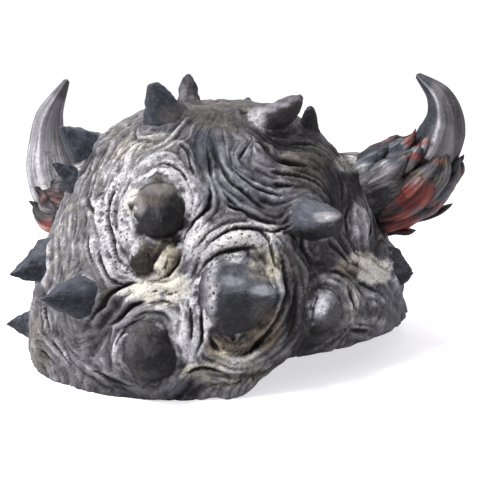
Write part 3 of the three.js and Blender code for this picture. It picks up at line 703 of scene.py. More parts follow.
def main_relief(points, normals):
    """The relief that the solids have too: mounds, rings, swellings, the face and the stumps."""
    rise = np.zeros(points.shape[:-1])
    for spike in SPIKES:
        distance = np.linalg.norm(points - on_bell(spike["around"], spike["height"]), axis=-1)
        rise += 0.28 * spike["radius"] * bump(distance, 1.35 * spike["radius"])
        if spike.get("ringed"):
            rise += 4 * bump(distance - 1.7 * spike["radius"] * spike["ringed"], 8)
            rise -= 3 * bump(distance - 2.3 * spike["radius"] * spike["ringed"], 8)
    for swelling in SWELLINGS:
        distance = np.linalg.norm(points - on_bell(swelling["around"], swelling["height"]), axis=-1)
        rise += swelling["rise"] * bump(distance, swelling["reach"])
    ridge_rise = np.zeros_like(rise)
    for side in (-1, 1):
        for ridge in FACE_RIDGES:
            start = on_bell(side * ridge["start"][0], ridge["start"][1])
            end = on_bell(side * ridge["end"][0], ridge["end"][1])
            distance = distance_to_line(points, start, end)
            ridge_rise = np.maximum(ridge_rise, ridge["rise"] * bump(distance, ridge["reach"]))
    rise += ridge_rise
    across_eye = (np.abs(points[..., 0]) - EYE_OUT) / (EYE_WIDTH / 2)
    up_eye = (points[..., 2] - EYE_UP) / (EYE_HEIGHT / 2)
    eyelid = bump((np.hypot(across_eye, up_eye) - 1.25) * 8, 3)
    rise += np.where(points[..., 1] < 0, 2 * eyelid, 0)
    nose, _, nose_radii = smooth_line(NOSE_LINE, np.linspace(0, 1, 24))
    nose = nose * [1, -1, 1]
    rise = np.maximum(rise, swept_rise(points, normals, nose, nose_radii))
    out, forward, up, radius = NOSTRIL_WING
    wings = np.array([(side * out, -forward, up) for side in (-1, 1)])
    rise = np.maximum(rise, swept_rise(points, normals, wings, [radius, radius]))
    for temple in (RIGHT, LEFT):
        rise = np.maximum(rise, stump_rise(points, normals, temple))
    return rise


def grid_steps(points):
    """How far in space one row down and one column on lies, at each point of the skin's grid."""
    wrapped = np.concatenate([points[:, -1:], points, points[:, :1]], axis=1)
    return np.gradient(points, axis=0), (wrapped[:, 2:] - wrapped[:, :-2]) / 2


def points_under(path, points, seen, looks):
    """The points of the skin that the camera sees under each pixel of a drawn path."""
    hidden = np.where(looks > 0.02, 0, 1e6)
    off = [np.sum((seen - pixel) ** 2, -1) + hidden for pixel in path]
    return [(*points.reshape(-1, 3)[np.argmin(distance)], 0) for distance in off]


def crease_fields(points, normals, raised, lie):
    """The drawn creases: how deep they cut, how high they bank, how dark they are and how near.
    Their darkness is the mask's own black in its creases and painted shade as well.

    The folds of the skin are laid along them."""
    shape = points.shape[:-1]
    fields = {name: np.zeros(shape) for name in ("cut", "bank", "dark")}
    fields["gap"] = np.full(shape, 99.0)
    seen, looks = seen_at(raised), facing(raised, normals)
    wobble = 0.5 * noise(points, size=6, seed=21) + 0.3 * noise(points, size=2.5, seed=22)
    swell = 1 + 0.4 * noise(points, size=8, seed=23)
    folds = [(path, -rise, half_width) for path, rise, half_width in RAISED_FOLDS.values()]
    for path, depth, half_width in [*CREASES.values(), *folds]:
        stations = points_under(path, points, seen, looks)
        samples = np.linspace(0, 1, 12 * len(path))
        line, tangents, _ = smooth_line(stations, samples)
        inside = np.all((points > line.min(0) - 20) & (points < line.max(0) + 20), -1)
        offsets = points[inside][:, None, :] - line[None, :, :]
        distances = np.linalg.norm(offsets, axis=-1)
        nearest = np.argmin(distances, 1)
        rows = np.arange(len(nearest))
        share = samples[nearest]
        gap = distances[rows, nearest]
        lefts = np.cross(normals[inside], tangents[nearest])
        signed = np.sign(np.sum(lefts * offsets[rows, nearest], -1)) * gap
        taper = step_between(share, -0.02, 0.35) * (1 - step_between(share, 0.65, 1.02))
        distance = np.abs(signed + wobble[inside] * 0.8)
        lie.lay(inside, tangents[nearest], bump(gap, 9) * (0.2 + taper))
        if depth < 0:
            ends = step_between(share, -0.05, 0.2) * (1 - step_between(share, 0.8, 1.05))
            fold = -depth * ends * np.exp(-(distance / half_width) ** 4)
            fields["bank"][inside] = np.maximum(fields["bank"][inside], fold)
            continue
        width = 0.52 * half_width * (0.5 + 0.5 * taper) * swell[inside]
        cut = 0.72 * depth * taper * bump(distance, width)
        high = np.where(signed > 0, 0.45, 0.15)
        bank = high * depth * taper * bump(distance - 2.6 * width, 2.0 * width)
        # Near-black along each crease: the mask's own black there and painted shade.
        dark = taper * bump(distance, 0.75 * width)
        for name, values in (("cut", cut), ("bank", bank), ("dark", dark)):
            fields[name][inside] = np.maximum(fields[name][inside], values)
        fields["gap"][inside] = np.minimum(fields["gap"][inside], gap + 6 * (1 - taper))
    return fields


class Lie:
    """The way the folds lie at each point of the skin's grid, gathered from lines that have no sense."""

    def __init__(self, points, normals):
        self.points = points
        self.steps = grid_steps(points)
        self.down = unit(self.steps[0] - normals * np.sum(self.steps[0] * normals, -1)[..., None])
        self.side = np.cross(normals, self.down)
        self.doubled = np.zeros((*points.shape[:-1], 2))

    def lay(self, chosen, directions, weights):
        """Adds directions at the chosen points. One and its opposite count as the same."""
        along_side = np.sum(directions * self.side[chosen], -1)
        along_down = np.sum(directions * self.down[chosen], -1)
        angle = 2 * np.arctan2(along_down, along_side)
        self.doubled[chosen] += weights[..., None] * np.stack([np.cos(angle), np.sin(angle)], -1)

    def directions(self):
        angle = (np.arctan2(self.doubled[..., 1], self.doubled[..., 0]) / 2)[..., None]
        return np.cos(angle) * self.side + np.sin(angle) * self.down

    def drawn_out(self, fields, reach):
        """Fields over the grid, averaged along the folds over this many millimetres each way."""
        flow = self.directions()
        down_step, side_step = self.steps
        down_down = np.sum(down_step * down_step, -1)
        down_side = np.sum(down_step * side_step, -1)
        side_side = np.sum(side_step * side_step, -1)
        with_down = np.sum(flow * down_step, -1)
        with_side = np.sum(flow * side_step, -1)
        area = down_down * side_side - down_side ** 2
        row_rate = np.clip((side_side * with_down - down_side * with_side) / area, -3, 3)
        column_rate = np.clip((down_down * with_side - down_side * with_down) / area, -9, 9)
        count, width = flow.shape[:2]
        total = fields.copy()
        for sense in (1, -1):
            row, column = np.indices((count, width)).astype(float)
            heading = sense * flow
            for _ in range(reach):
                at = np.rint(row).astype(int), np.rint(column).astype(int) % width
                turn = np.where(np.sum(flow[at] * heading, -1) < 0, -1, 1)
                heading = flow[at] * turn[..., None]
                row = np.clip(row + turn * row_rate[at], 0, count - 1.001)
                column = column + turn * column_rate[at]
                total += between_points(fields, row, column)
        total -= total.mean((0, 1))
        return total / total.std((0, 1))

    def drawn_noise(self, sizes_and_seeds, reach):
        """Noise of each size and seed, drawn out along the folds."""
        fields = [noise(self.points, size, seed) for size, seed in sizes_and_seeds]
        return np.moveaxis(self.drawn_out(np.stack(fields, -1), reach), -1, 0)


def between_points(fields, row, column):
    """Fields over the grid at places between its points."""
    upper, left = np.floor(row).astype(int), np.floor(column).astype(int)
    row_share, column_share = (row - upper)[..., None], (column - left)[..., None]
    width = fields.shape[1]
    over, under = (
        fields[at, left % width] * (1 - column_share) + fields[at, (left + 1) % width] * column_share
        for at in (upper, upper + 1)
    )
    return over * (1 - row_share) + under * row_share


def lay_round_spikes(lie, points, normals):
    """Folds ring the spikes, and elsewhere they hang down."""
    everywhere = slice(None)
    slant = 0.6 * noise(points, size=45, seed=31)[..., None]
    lie.lay(everywhere, lie.down + slant * lie.side, np.full(points.shape[:-1], 0.12))
    for spike in SPIKES:
        offset = points - on_bell(spike["around"], spike["height"])
        distance = np.linalg.norm(offset, axis=-1)
        gap = distance - 1.4 * spike["radius"]
        lie.lay(everywhere, np.cross(normals, offset), 0.5 * bump(gap, 0.8 * spike["radius"]))


def skirt_rise(points):
    """The skin that climbs a little way up each spike, so that the two run into each other.

    Also the share of its paint that is a spike's, the number of that spike and its grain."""
    rise = np.zeros(points.shape[:-1])
    spiked = np.zeros_like(rise)
    numbers = np.zeros(rise.shape, int)
    grain = np.zeros((3, *rise.shape))
    for number, spike in enumerate(SPIKES):
        offset = points - on_bell(spike["around"], spike["height"])
        aim, across, upward = spike_axes(spike)
        beside = np.linalg.norm(offset - (offset @ aim)[..., None] * aim, axis=-1)
        near = np.linalg.norm(offset, axis=-1) < 2.5 * spike["radius"]
        gap = np.maximum(beside - spike["radius"], 0) / spike["radius"]
        rise += np.where(near, 0.17 * spike["radius"] * np.exp(-gap / 0.2), 0)
        share = np.where(near, 0.32 * (1 - step_between(gap, 0.0, 0.3)), 0)
        own = share > spiked
        spiked[own] = share[own]
        numbers[own] = number
        scale = SPIKE_STREAKS / spike["radius"]
        along = SPIKE_STREAK_RATE * (offset @ aim) / spike["length"] + number
        for axis, values in enumerate((scale * (offset @ across), scale * (offset @ upward), along)):
            grain[axis][own] = values[own]
    return rise, spiked, numbers, grain


def area_paint(areas, points, normals, plain, plain_weight):
    """The amounts of paint at each point: the plain ones, and those of the areas near it."""
    seen, looks = seen_at(points), facing(points, normals)
    total = plain_weight
    paint = {amount: plain_weight * plain.get(amount, 0) for amount in AMOUNTS}
    for area in areas.values():
        across, down = area["reach"]
        offset = (seen - area["at"]) / area["reach"]
        distance = np.hypot(offset[..., 0], offset[..., 1])
        weight = 400 / (across * down) * np.exp(-distance ** 3) * step_between(looks, -0.15, 0.2)
        total = total + weight
        for amount in paint:
            paint[amount] = paint[amount] + weight * area.get(amount, 0)
    return {amount: values / total for amount, values in paint.items()}


def skin_paint(points, normals, spiked, numbers):
    """The skin's paint, and over the share of a spike that of the spike with this number."""
    skin = area_paint(SKIN_AREAS, points, normals, PLAIN_SKIN, PLAIN_WEIGHT)
    own = {amount: np.array([spike[amount] for spike in SPIKES])[numbers]
           for amount in ("tone", "top_highlight", "slate", "brown")}
    # Painted highlight: each spike's upper side is painted lighter, where the light from above falls.
    own["tone"] = own["tone"] + 0.5 * own["top_highlight"] * step_between(normals[..., 2], 0.0, 0.9)
    spike = area_paint(SPIKE_AREAS, points, normals, own, 1.0)
    uneven = 0.25 * noise(points, size=2.2, seed=18) + 0.2 * noise(points, size=7, seed=19)
    share = step_between(spiked + uneven, 0.22, 0.6)
    paint = {amount: skin[amount] * (1 - share) + spike[amount] * share for amount in AMOUNTS}
    paint["speckly"] = 1 - 0.4 * share
    return paint


def pitting(points, size, seed):
    """How deep inside a pit each point lies, 0 to 1: pits of uneven width, about this far apart."""
    cells = np.random.default_rng(seed).uniform(0, 1, (16, 16, 16, 4))
    bent = np.stack([noise(points, size=2, seed=seed + offset) for offset in range(3)], -1)
    place = points / size + 40.0 + 0.16 * bent
    cell = np.floor(place).astype(int)
    deepest = np.zeros(points.shape[:-1])
    for step in np.ndindex(3, 3, 3):
        near = cell + np.array(step) - 1
        drawn = cells[near[..., 0] % 16, near[..., 1] % 16, near[..., 2] % 16]
        distance = np.linalg.norm(near + drawn[..., :3] - place, axis=-1)
        width = 0.07 + 0.7 * np.maximum(drawn[..., 3] - 0.6, 0)
        deepest = np.maximum(deepest, np.where(drawn[..., 3] > 0.5, bump(distance, width), 0))
    return deepest


def almond(side):
    """The outline of an eye hole, as points of (x, z): an upper and a lower lid."""
    inner, outer = np.array([-EYE_WIDTH / 2, 0]), np.array([EYE_WIDTH / 2, EYE_SLANT])
    upper, lower = np.array([0, EYE_HEIGHT]), np.array([0, EYE_SLANT - EYE_HEIGHT])
    points = []
    for start, bend, end in ((inner, upper, outer), (outer, lower, inner)):
        for share in np.arange(0, 1, 1 / EYE_STEPS):
            x, z = (1 - share) ** 2 * start + 2 * share * (1 - share) * bend + share ** 2 * end
            points.append((side * (EYE_OUT + x), EYE_UP + z))
    return points if side > 0 else points[::-1]


def eye_cutter(side):
    """A bar of an eye hole's outline, from before the face to inside the hood."""
    outline = almond(side)
    count = len(outline)
    points = [(x, y, z) for y in EYE_CUT for x, z in outline]
    faces = [tuple(range(count))[::-1], tuple(range(count, 2 * count))]
    for index in range(count):
        after = (index + 1) % count
        faces.append((index, after, count + after, count + index))
    return mesh_piece(f"eye_cutter_{side}", np.array(points, float), faces)


def skin_grid(around):
    """The plain bell over the skin's rows and columns: its points, normals and the rim's height."""
    profile = np.linspace(0, 90, PROFILE_STEPS)
    runs = np.stack([HOOD_MEAN_RADIUS * np.sin(np.radians(profile)) ** (2 / SHOULDER_ROUNDNESS),
                     HOOD_HEIGHT * np.cos(np.radians(profile)) ** (2 / CROWN_ROUNDNESS)], -1)
    arc = np.concatenate([[0], np.cumsum(np.linalg.norm(np.diff(runs, axis=0), axis=1))])
    rim_line = bell_point(around, np.full_like(around, 90.0))
    notches = noise(rim_line, size=9, seed=4) + 0.5 * noise(rim_line, size=3, seed=5) - 0.1
    rim_height = rim_lift(around) + RIM_RAGGEDNESS * np.clip(notches, 0, 1)
    lowest = np.interp(down_at(rim_height), profile, arc)
    share = np.arange(1, SKIN_ROWS + 1)[:, None] / SKIN_ROWS
    down = np.interp(share * lowest[None, :], arc, profile)
    around_grid = np.broadcast_to(around, down.shape)
    plain = bell_point(around_grid, down)
    normals = bell_normal(around_grid, down)
    level = 1 - step_between(plain[..., 2] - rim_height, 0, RIM_LEVELS_OFF)[..., None]
    return plain, unit(normals * (1 - level * [0, 0, 1])), rim_height


def shares_of_places(points, normals):
    """How much each point belongs to the face, to a stump and to the top of the crown."""
    face = step_between(-points[..., 1], 40, 75) * step_between(110 - points[..., 2], 0, 30)
    stumps = [step_between(stump_rise(points, normals, temple), 2, 8) for temple in (RIGHT, LEFT)]
    return dict(face=face, stump=np.maximum(*stumps), crown=step_between(points[..., 2], 148, 160))


def carved_rise(points, normals, broad_forms, creases, lie, painted):
    """How high the carved skin stands over the bell, and the streaks and pits that its paint takes."""
    folds, drapes = lie.drawn_noise(((7, 41), (13, 42)), 24)
    wrinkles, streak = lie.drawn_noise(((3, 43), (1.6, 44)), 12)
    shares = shares_of_places(points, normals)
    face, crown = shares["face"], shares["crown"]
    strength = 0.5 + 0.5 * bump(creases["gap"], CREASE_REACH)
    for place, share in dict(shares, smooth=painted["smooth"]).items():
        strength = strength * (1 - CALMER[place] * share)
    pits = painted["pits"] * pitting(points, PIT_SPACING, 9) * (1 - face)
    main, skirt = broad_forms
    rise = main + creases["bank"] + skirt + 0.6 * (1 - face) - creases["cut"] * (1 - face)
    rise = -levelled(-rise, SOFT_CUT, SOFT_ROOM, SOFT_ROOM) - PIT_DEPTH * pits
    rise += strength * (FOLD_HEIGHT * creased(folds, 1.5) - 0.9)
    rise += strength * DRAPE_HEIGHT * creased(drapes, 1.5)
    rise += (0.3 - 0.2 * crown + 0.6 * strength) * (
        WRINKLE_HEIGHT * creased(wrinkles, 1.6) - 0.55 + 0.1 * streak)
    lumpy = 0.8 * noise(points, size=12, seed=6) + 0.4 * noise(points, size=5.5, seed=7)
    rise += (1 - 0.6 * face) * (lumpy + 0.2 * noise(points, size=2.4, seed=8))
    rise += crown * (1.5 * noise(points, size=15, seed=10) + 0.9 * noise(points, size=6, seed=12))
    return np.maximum(rise, -DEEPEST_CUT), streak, pits


def brushed_tone(points, rise, painted, streak, dark, pits):
    """How light the paint is: brushed light on all that stands out, and dark in all that is cut, both
    as the mask is painted and as painted shade.
    """
    fine = np.clip((rise - blurred(rise, 1)) / 0.22, -2.2, 1.3)
    lumps = np.clip((rise - blurred(rise, 3)) / 0.8, -1.5, 1.5)
    broad = np.clip((rise - blurred(rise, 9)) / 2.2, -1.5, 1.5)
    tone = painted["tone"] * (1 + 0.2 * noise(points, size=5, seed=18))
    tone = tone + 0.1 * noise(points, size=30, seed=17)
    tone += (0.3 + 0.42 * tone) * (0.22 * fine + 0.15 * lumps + 0.1 * broad + 0.06 * streak)
    # Darker in the creases, the mask's black and painted shade, and in the pits.
    tone -= 0.7 * dark + 0.5 * pits
    return levelled(tone, BRIGHT_KNEE, BRIGHT_ROOM, BRIGHT_REACH)


def lining_points(around, rim_height):
    """The smooth lining, from the rim up to the crown, and the lining's own crown."""
    share = np.linspace(1, 0, LINING_ROWS, endpoint=False)[:, None]
    down = down_at(rim_height, WALL)[None, :] * share
    lining = bell_point(np.broadcast_to(around, down.shape), down, WALL)
    return np.concatenate([lining.reshape(-1, 3), [[0, 0, HOOD_HEIGHT - WALL]]])


def skin_piece():
    """The hood's skin: carved outside, smooth lining, cut rim and eye holes."""
    turns = np.linspace(-180, 180, SKIN_COLUMNS, endpoint=False)
    around = CARVED_SIDE + turns - COLUMN_FINENESS * np.degrees(np.sin(np.radians(turns)))
    plain, normals, rim_height = skin_grid(around)
    main = main_relief(plain, normals)
    raised = plain + normals * main[..., None]
    lie = Lie(plain, normals)
    creases = crease_fields(plain, normals, raised, lie)
    lay_round_spikes(lie, plain, normals)
    skirt, spiked, numbers, grain = skirt_rise(plain)
    painted = skin_paint(raised, normals, spiked, numbers)
    rise, streak, pits = carved_rise(plain, normals, (main, skirt), creases, lie, painted)
    outside = plain + normals * rise[..., None]
    outside[-1, :, 2] = np.maximum(outside[-1, :, 2], 0)
    tone = brushed_tone(plain, rise, painted, streak, creases["dark"], pits)

    crown = np.array([[0, 0, outside[0, :, 2].mean() + 0.2]])
    lining = lining_points(around, rim_height)
    fields = {}
    for field, values in dict(painted, tone=tone, **dict(zip(GRAIN_FIELDS, grain))).items():
        fields[field] = np.concatenate([[values[0].mean()], values.ravel(), np.zeros(len(lining))])
    fields["lining"] = np.concatenate([np.zeros(1 + tone.size), np.ones(len(lining))])
    points = np.concatenate([crown, outside.reshape(-1, 3), lining])
    skin = mesh_piece("hood_skin", points, tube_faces(SKIN_ROWS + LINING_ROWS, SKIN_COLUMNS), fields)
    for side in (-1, 1):
        cut_out = skin.modifiers.new("eye_hole", "BOOLEAN")
        cut_out.operation = "DIFFERENCE"
        cut_out.solver = "MANIFOLD"
        cut_out.object = eye_cutter(side)
    return applied(skin)


def applied(piece):
    """Turns a piece and its modifiers into a plain mesh, and removes what the modifiers used."""
    depsgraph = bpy.context.evaluated_depsgraph_get()
    mesh = bpy.data.meshes.new_from_object(piece.evaluated_get(depsgraph), depsgraph=depsgraph)
    helpers = [m.object for m in piece.modifiers if m.type == "BOOLEAN"]
    piece.modifiers.clear()
    cleaned = bmesh.new()
    cleaned.from_mesh(mesh)
    bmesh.ops.dissolve_degenerate(cleaned, dist=SLIVER, edges=cleaned.edges)
    bmesh.ops.triangulate(cleaned, faces=[face for face in cleaned.faces if len(face.verts) > 4])
    cleaned.to_mesh(mesh)
    cleaned.free()
    piece.data = mesh
    for helper in helpers:
        bpy.data.objects.remove(helper)
    return piece


def spike_axes(spike):
    """The way a spike points, and the two directions across it."""
    aim = direction(*spike["aim"])
    upward = unit(np.array([0, 0, 1.0]) - aim[2] * aim)
    return aim, np.cross(upward, aim), upward


def spike_shape(name, blunt):
    """A cone of length 1 and radius 1 along Z, with its root below, for the spikes to be made from."""
    along = np.concatenate([[-0.35, -0.15], 1 - (1 - np.linspace(0, 1, SPIKE_ROWS - 2)) ** 1.5])
    share = np.clip(along, 0, 1)
    if blunt:
        radius = (1 - SPIKE_TAPERS[blunt] * share) * np.sqrt(1 - share ** 4)
    else:
        radius = (1 - share) ** 0.8
    # The root flares out, and two faint rings swell the cone.
    radius = radius + 0.16 * np.exp(-share / 0.12)
    radius = radius + 0.045 * bump(share - 0.24, 0.06) + 0.04 * bump(share - 0.5, 0.06)
    turns = np.arange(SPIKE_SIDES) * 2 * pi / SPIKE_SIDES
    rings = []
    for height, girth in zip(along[:-1], radius[:-1]):
        facet = 1 + 0.03 * flats_and_ridges(turns + 0.8 * height) * (1 - 0.4 * max(height, 0))
        rings.append(np.stack([girth * facet * np.cos(turns), girth * facet * np.sin(turns),
                               np.full(SPIKE_SIDES, height)], -1))
    points = np.concatenate([[[0, 0, along[0]]], *rings, [[0, 0, 1.0]]])
    fields = dict(
        spiked=0.5 + 0.5 * step_between(points[:, 2], 0.0, 0.25), grain_x=SPIKE_STREAKS * points[:, 0],
        grain_y=SPIKE_STREAKS * points[:, 1], grain_z=SPIKE_STREAK_RATE * points[:, 2],
    )
    faces = [face[::-1] for face in tube_faces(SPIKE_ROWS - 1, SPIKE_SIDES)]
    return mesh_piece(name, points / MM - AXIS, faces, fields)


def flats_and_ridges(turns):
    """A few uneven flats and ridges round a spike."""
    return np.cos(3 * turns + 0.6) + 0.5 * np.cos(5 * turns + 2.1)


def add(tree, kind, inputs=None, **settings):
    """Adds a node: settings are its properties, inputs are values or sockets linked into it."""
    node = tree.nodes.new(kind)
    for name, value in settings.items():
        setattr(node, name, value)
    for key, value in (inputs or {}).items():
        if isinstance(value, bpy.types.NodeSocket):
            tree.links.new(value, node.inputs[key])
        else:
            node.inputs[key].default_value = value
    return node


def computed(tree, operation, *values):
    """A sum, a product or the like, of values and sockets."""
    return add(tree, "ShaderNodeMath", dict(enumerate(values)), operation=operation).outputs[0]


def ranged(tree, value, low, high, start=0.0, end=1.0):
    """A value turned from the range of low to high into that of start to end, and held inside it."""
    return add(tree, "ShaderNodeMapRange", {0: value, 1: low, 2: high, 3: start, 4: end}).outputs[0]


def grain_place(tree, fields):
    """Where each point lies in the grain, which streaks and grooves follow."""
    lengthwise = computed(tree, "ADD", fields["grain_z"], fields["number"])
    return add(tree, "ShaderNodeCombineXYZ", {
        0: fields["grain_x"], 1: fields["grain_y"], 2: lengthwise,
    }).outputs[0]


def standing_tree():
    """Stands shapes on points: each point gives the shape's size, its aim and the side it faces."""
    tree = bpy.data.node_groups.new("standing_shapes", "GeometryNodeTree")
    sockets = dict.fromkeys((f"{shape} shape" for shape in SPIKE_SHAPES), "Object")
    sockets |= dict.fromkeys(SPIKE_ROUGHNESS, "Float") | {"Paint": "Material"}
    for name, kind in (("Geometry", "Geometry"), *sockets.items()):
        tree.interface.new_socket(name, in_out="INPUT", socket_type=f"NodeSocket{kind}")
    tree.interface.new_socket("Geometry", in_out="OUTPUT", socket_type="NodeSocketGeometry")
    given = add(tree, "NodeGroupInput").outputs
    kinds = dict.fromkeys(("aim", "faces", "size"), "FLOAT_VECTOR") | {"blunt": "INT"}
    kinds |= dict.fromkeys(("number", *GRAIN_FIELDS), "FLOAT")
    named = {}
    for name, kind in kinds.items():
        attribute = add(tree, "GeometryNodeInputNamedAttribute", {"Name": name}, data_type=kind)
        named[name] = attribute.outputs[0]
    # A joining socket keeps the shape that is linked last as its first one.
    choice = add(tree, "GeometryNodeGeometryToInstance")
    for shape in reversed(SPIKE_SHAPES):
        source = add(tree, "GeometryNodeObjectInfo", {"Object": given[f"{shape} shape"]})
        tree.links.new(source.outputs["Geometry"], choice.inputs[0])
    turn = add(tree, "FunctionNodeAxesToRotation", {0: named["aim"], 1: named["faces"]},
               primary_axis="Z", secondary_axis="Y").outputs[0]
    standing = add(tree, "GeometryNodeInstanceOnPoints", {
        "Points": given["Geometry"], "Instance": choice.outputs[0], "Pick Instance": True,
        "Instance Index": named["blunt"], "Rotation": turn, "Scale": named["size"],
    }).outputs[0]
    solid = add(tree, "GeometryNodeRealizeInstances", {"Geometry": standing}).outputs[0]

    place = add(tree, "GeometryNodeInputPosition").outputs[0]
    lumps = add(tree, "ShaderNodeTexNoise", {
        "Vector": place, "Scale": given["Lumps per metre"], "Detail": 5.0,
    }).outputs[0]
    lump = computed(tree, "MULTIPLY", computed(tree, "SUBTRACT", lumps, 0.5), given["Lump height"])
    grooves = add(tree, "ShaderNodeTexNoise", {
        "Vector": grain_place(tree, named), "Scale": 0.6, "Detail": 3.0,
    }).outputs[0]
    groove = computed(tree, "SUBTRACT", grooves, 0.5)
    rise = computed(tree, "MULTIPLY_ADD", groove, given["Groove depth"], lump)
    normal = add(tree, "GeometryNodeInputNormal").outputs[0]
    moved = add(tree, "ShaderNodeVectorMath", {0: normal, "Scale": rise}, operation="SCALE").outputs[0]
    lumpy = add(tree, "GeometryNodeSetPosition", {"Geometry": solid, "Offset": moved}).outputs[0]
    painted = add(tree, "GeometryNodeSetMaterial", {
        "Geometry": lumpy, "Material": given["Paint"],
    }).outputs[0]
    add(tree, "NodeGroupOutput", {0: painted})
    return tree


def standing_piece(name, places, settings):
    """One mesh of shapes that stand on places: dicts of root, aim, faces, size, blunt and fields."""
    carrier = mesh_piece(name, np.array([place["root"] for place in places]), [])
    for field, first in places[0].items():
        if field == "root":
            continue
        values = np.array([place[field] for place in places])
        kind = "FLOAT_VECTOR" if np.ndim(first) else "INT" if isinstance(first, int) else "FLOAT"
        attribute = carrier.data.attributes.new(field, kind, "POINT")
        attribute.data.foreach_set("vector" if np.ndim(first) else "value", values.ravel())
    tree = standing_tree()
    modifier = carrier.modifiers.new("standing", "NODES")
    modifier.node_group = tree
    for item in tree.interface.items_tree:
        if item.in_out == "INPUT" and item.name in settings:
            modifier[item.identifier] = settings[item.name]
    carrier.update_tag()
    bpy.context.view_layer.update()
    return applied(carrier)


def spikes_piece(paint):
    """All the spikes, in one mesh, painted like the skin at their roots."""
    places = []
    for number, spike in enumerate(SPIKES):
        normal = bell_normal(np.float64(spike["around"]), down_at(np.float64(spike["height"])))
        aim, _, upward = spike_axes(spike)
        places.append(dict(
            root=on_bell(spike["around"], spike["height"]) + 2 * normal, aim=aim, faces=upward,
            size=np.array([spike["radius"], spike["radius"], spike["length"]]) * MM,
            blunt=spike.get("blunt", 0), number=float(number),
        ))
    shapes = {f"{shape} shape": spike_shape(shape, blunt) for blunt, shape in enumerate(SPIKE_SHAPES)}
    piece = standing_piece("hood_spikes", places, shapes | SPIKE_ROUGHNESS | {"Paint": paint})
    for shape in shapes.values():
        bpy.data.objects.remove(shape)

    mesh = piece.data
    fields = {}
    for field in ("spiked", "number"):
        fields[field] = np.empty(len(mesh.vertices), np.float32)
        mesh.attributes[field].data.foreach_get("value", fields[field])
    points = np.array([vertex.co for vertex in mesh.vertices]) / MM - AXIS
    normals = np.array([vertex.normal for vertex in mesh.vertices])
    numbers = np.rint(fields["number"]).astype(int)
    set_fields(mesh, skin_paint(points, normals, fields["spiked"], numbers))
    return piece


def temple_curve(stations, side, samples):
    """A line's centres, its tangents, the two directions across it, and its radii."""
    centres, tangents, radii = smooth_line(stations, samples)
    mirror = np.array([side, -1, 1])
    centres = centres * mirror
    tangents = tangents * mirror
    across = unit(np.array([0, -1, 0]) + tangents * tangents[:, 1:2])
    upward = np.cross(tangents, across) * side
    return centres, tangents, across, upward, radii


def tapered_bar(name, stations, side, sides, rows, carve, fields_of):
    """A bar along a line. carve scales its radius, by the share along it and the turn about it."""
    samples = np.linspace(0, 1, rows)
    centres, tangents, across, upward, radii = temple_curve(stations, side, samples)
    turns = np.arange(sides) * 2 * pi / sides
    along, turn = np.meshgrid(samples, turns, indexing="ij")
    girth = radii[:, None] * carve(along, turn)
    points = (centres[:, None, :] + (girth * np.cos(turn))[..., None] * across[:, None, :]
              + (girth * np.sin(turn))[..., None] * upward[:, None, :])
    tip = centres[-1] + tangents[-1] * 0.6 * stations[-1][3]
    everything = np.concatenate([[centres[0]], points.reshape(-1, 3), [tip]])
    everything[:, 0] = np.clip(everything[:, 0], -WIDEST, WIDEST)
    faces = tube_faces(rows, sides)
    if side > 0:
        faces = [face[::-1] for face in faces]
    normals = np.cos(turn)[..., None] * across[:, None, :] + np.sin(turn)[..., None] * upward[:, None, :]
    fields = {}
    for field, values in fields_of(along, turn, points, normals).items():
        fields[field] = np.concatenate([[values[0].mean()], values.ravel(), [values[-1].mean()]])
    return mesh_piece(name, everything, faces, fields)


def turn_from_flat(turn):
    """How far a turn about a horn lies from the middle of its flat."""
    return np.abs((turn - HORN_FLAT_TURN + pi) % (2 * pi) - pi)


def horn_carve(along, turn):
    """A flat towards the head and the back between two ridges, and striations along the horn."""
    from_flat = turn_from_flat(turn)
    flat = 0.12 * np.maximum(np.cos(from_flat), 0) ** 3
    grain = np.stack([40 * np.cos(turn), 40 * np.sin(turn), 26 * along], -1)
    broad, fine = noise(grain, size=5, seed=11), noise(grain * [1, 1, 0.6], size=2.2, seed=12)
    striations = 0.022 * broad + 0.012 * fine
    return 0.94 - flat + 0.06 * bump(from_flat - 1, 0.35) + striations * (1 - 0.5 * along)


def horn_fields(along, turn, points, normals):
    """The horn's paint, with long streaks."""
    painted = area_paint(HORN_AREAS, points, normals, PLAIN_HORN, PLAIN_WEIGHT)
    from_flat = turn_from_flat(turn)
    flat = 1 - step_between(from_flat, 0.8, 1.0)
    plainness = np.where(points[..., 0] > 0, 0.3, 1.0)
    tone = painted["tone"] + plainness * (0.3 * bump(from_flat - 1, 0.13) - 0.12 * flat)
    return dict(tone=tone, cream=painted["cream"], slate=np.maximum(painted["slate"], 0.6 * plainness * flat),
                grain_x=6 * np.cos(turn), grain_y=6 * np.sin(turn), grain_z=2 * along,
                speckly=np.full(along.shape, 0.2))


def collar_carve(along, turn):
    """A lumpy body under the flakes."""
    grain = np.stack([30 * np.cos(turn), 30 * np.sin(turn), 24 * along], -1)
    return 0.97 + 0.05 * noise(grain, size=9, seed=13) + 0.02 * noise(grain, size=4, seed=14)


def collar_fields(along, turn, points, normals):
    """The paint of the collar's body, darker than that of its flakes."""
    painted = area_paint(COLLAR_AREAS, points, normals, PLAIN_COLLAR, PLAIN_WEIGHT)
    return dict(tone=0.6 * painted["tone"], red=painted["red"], slate=painted["slate"],
                brown=painted["brown"], speckly=np.full(along.shape, 0.3),
                grain_x=5 * np.cos(turn), grain_y=5 * np.sin(turn), grain_z=along)


def flakes_of(side):
    """Each flake's turn, start, end, half width, lift and how pointed it is."""
    flakes = []
    for ring in FLAKE_RINGS:
        for index in range(ring["count"]):
            flakes.append((
                ring["turn"] + 360 * index / ring["count"] + rng.uniform(-7, 7),
                ring["start"] + rng.uniform(-0.05, 0.05), ring["end"] + rng.uniform(-0.12, 0.08),
                ring["spread"] * rng.uniform(0.7, 1.3), ring["tip"] * rng.uniform(0.5, 1.3),
                ring["pointed"],
            ))
    return flakes + FREE_FLAKES[side]


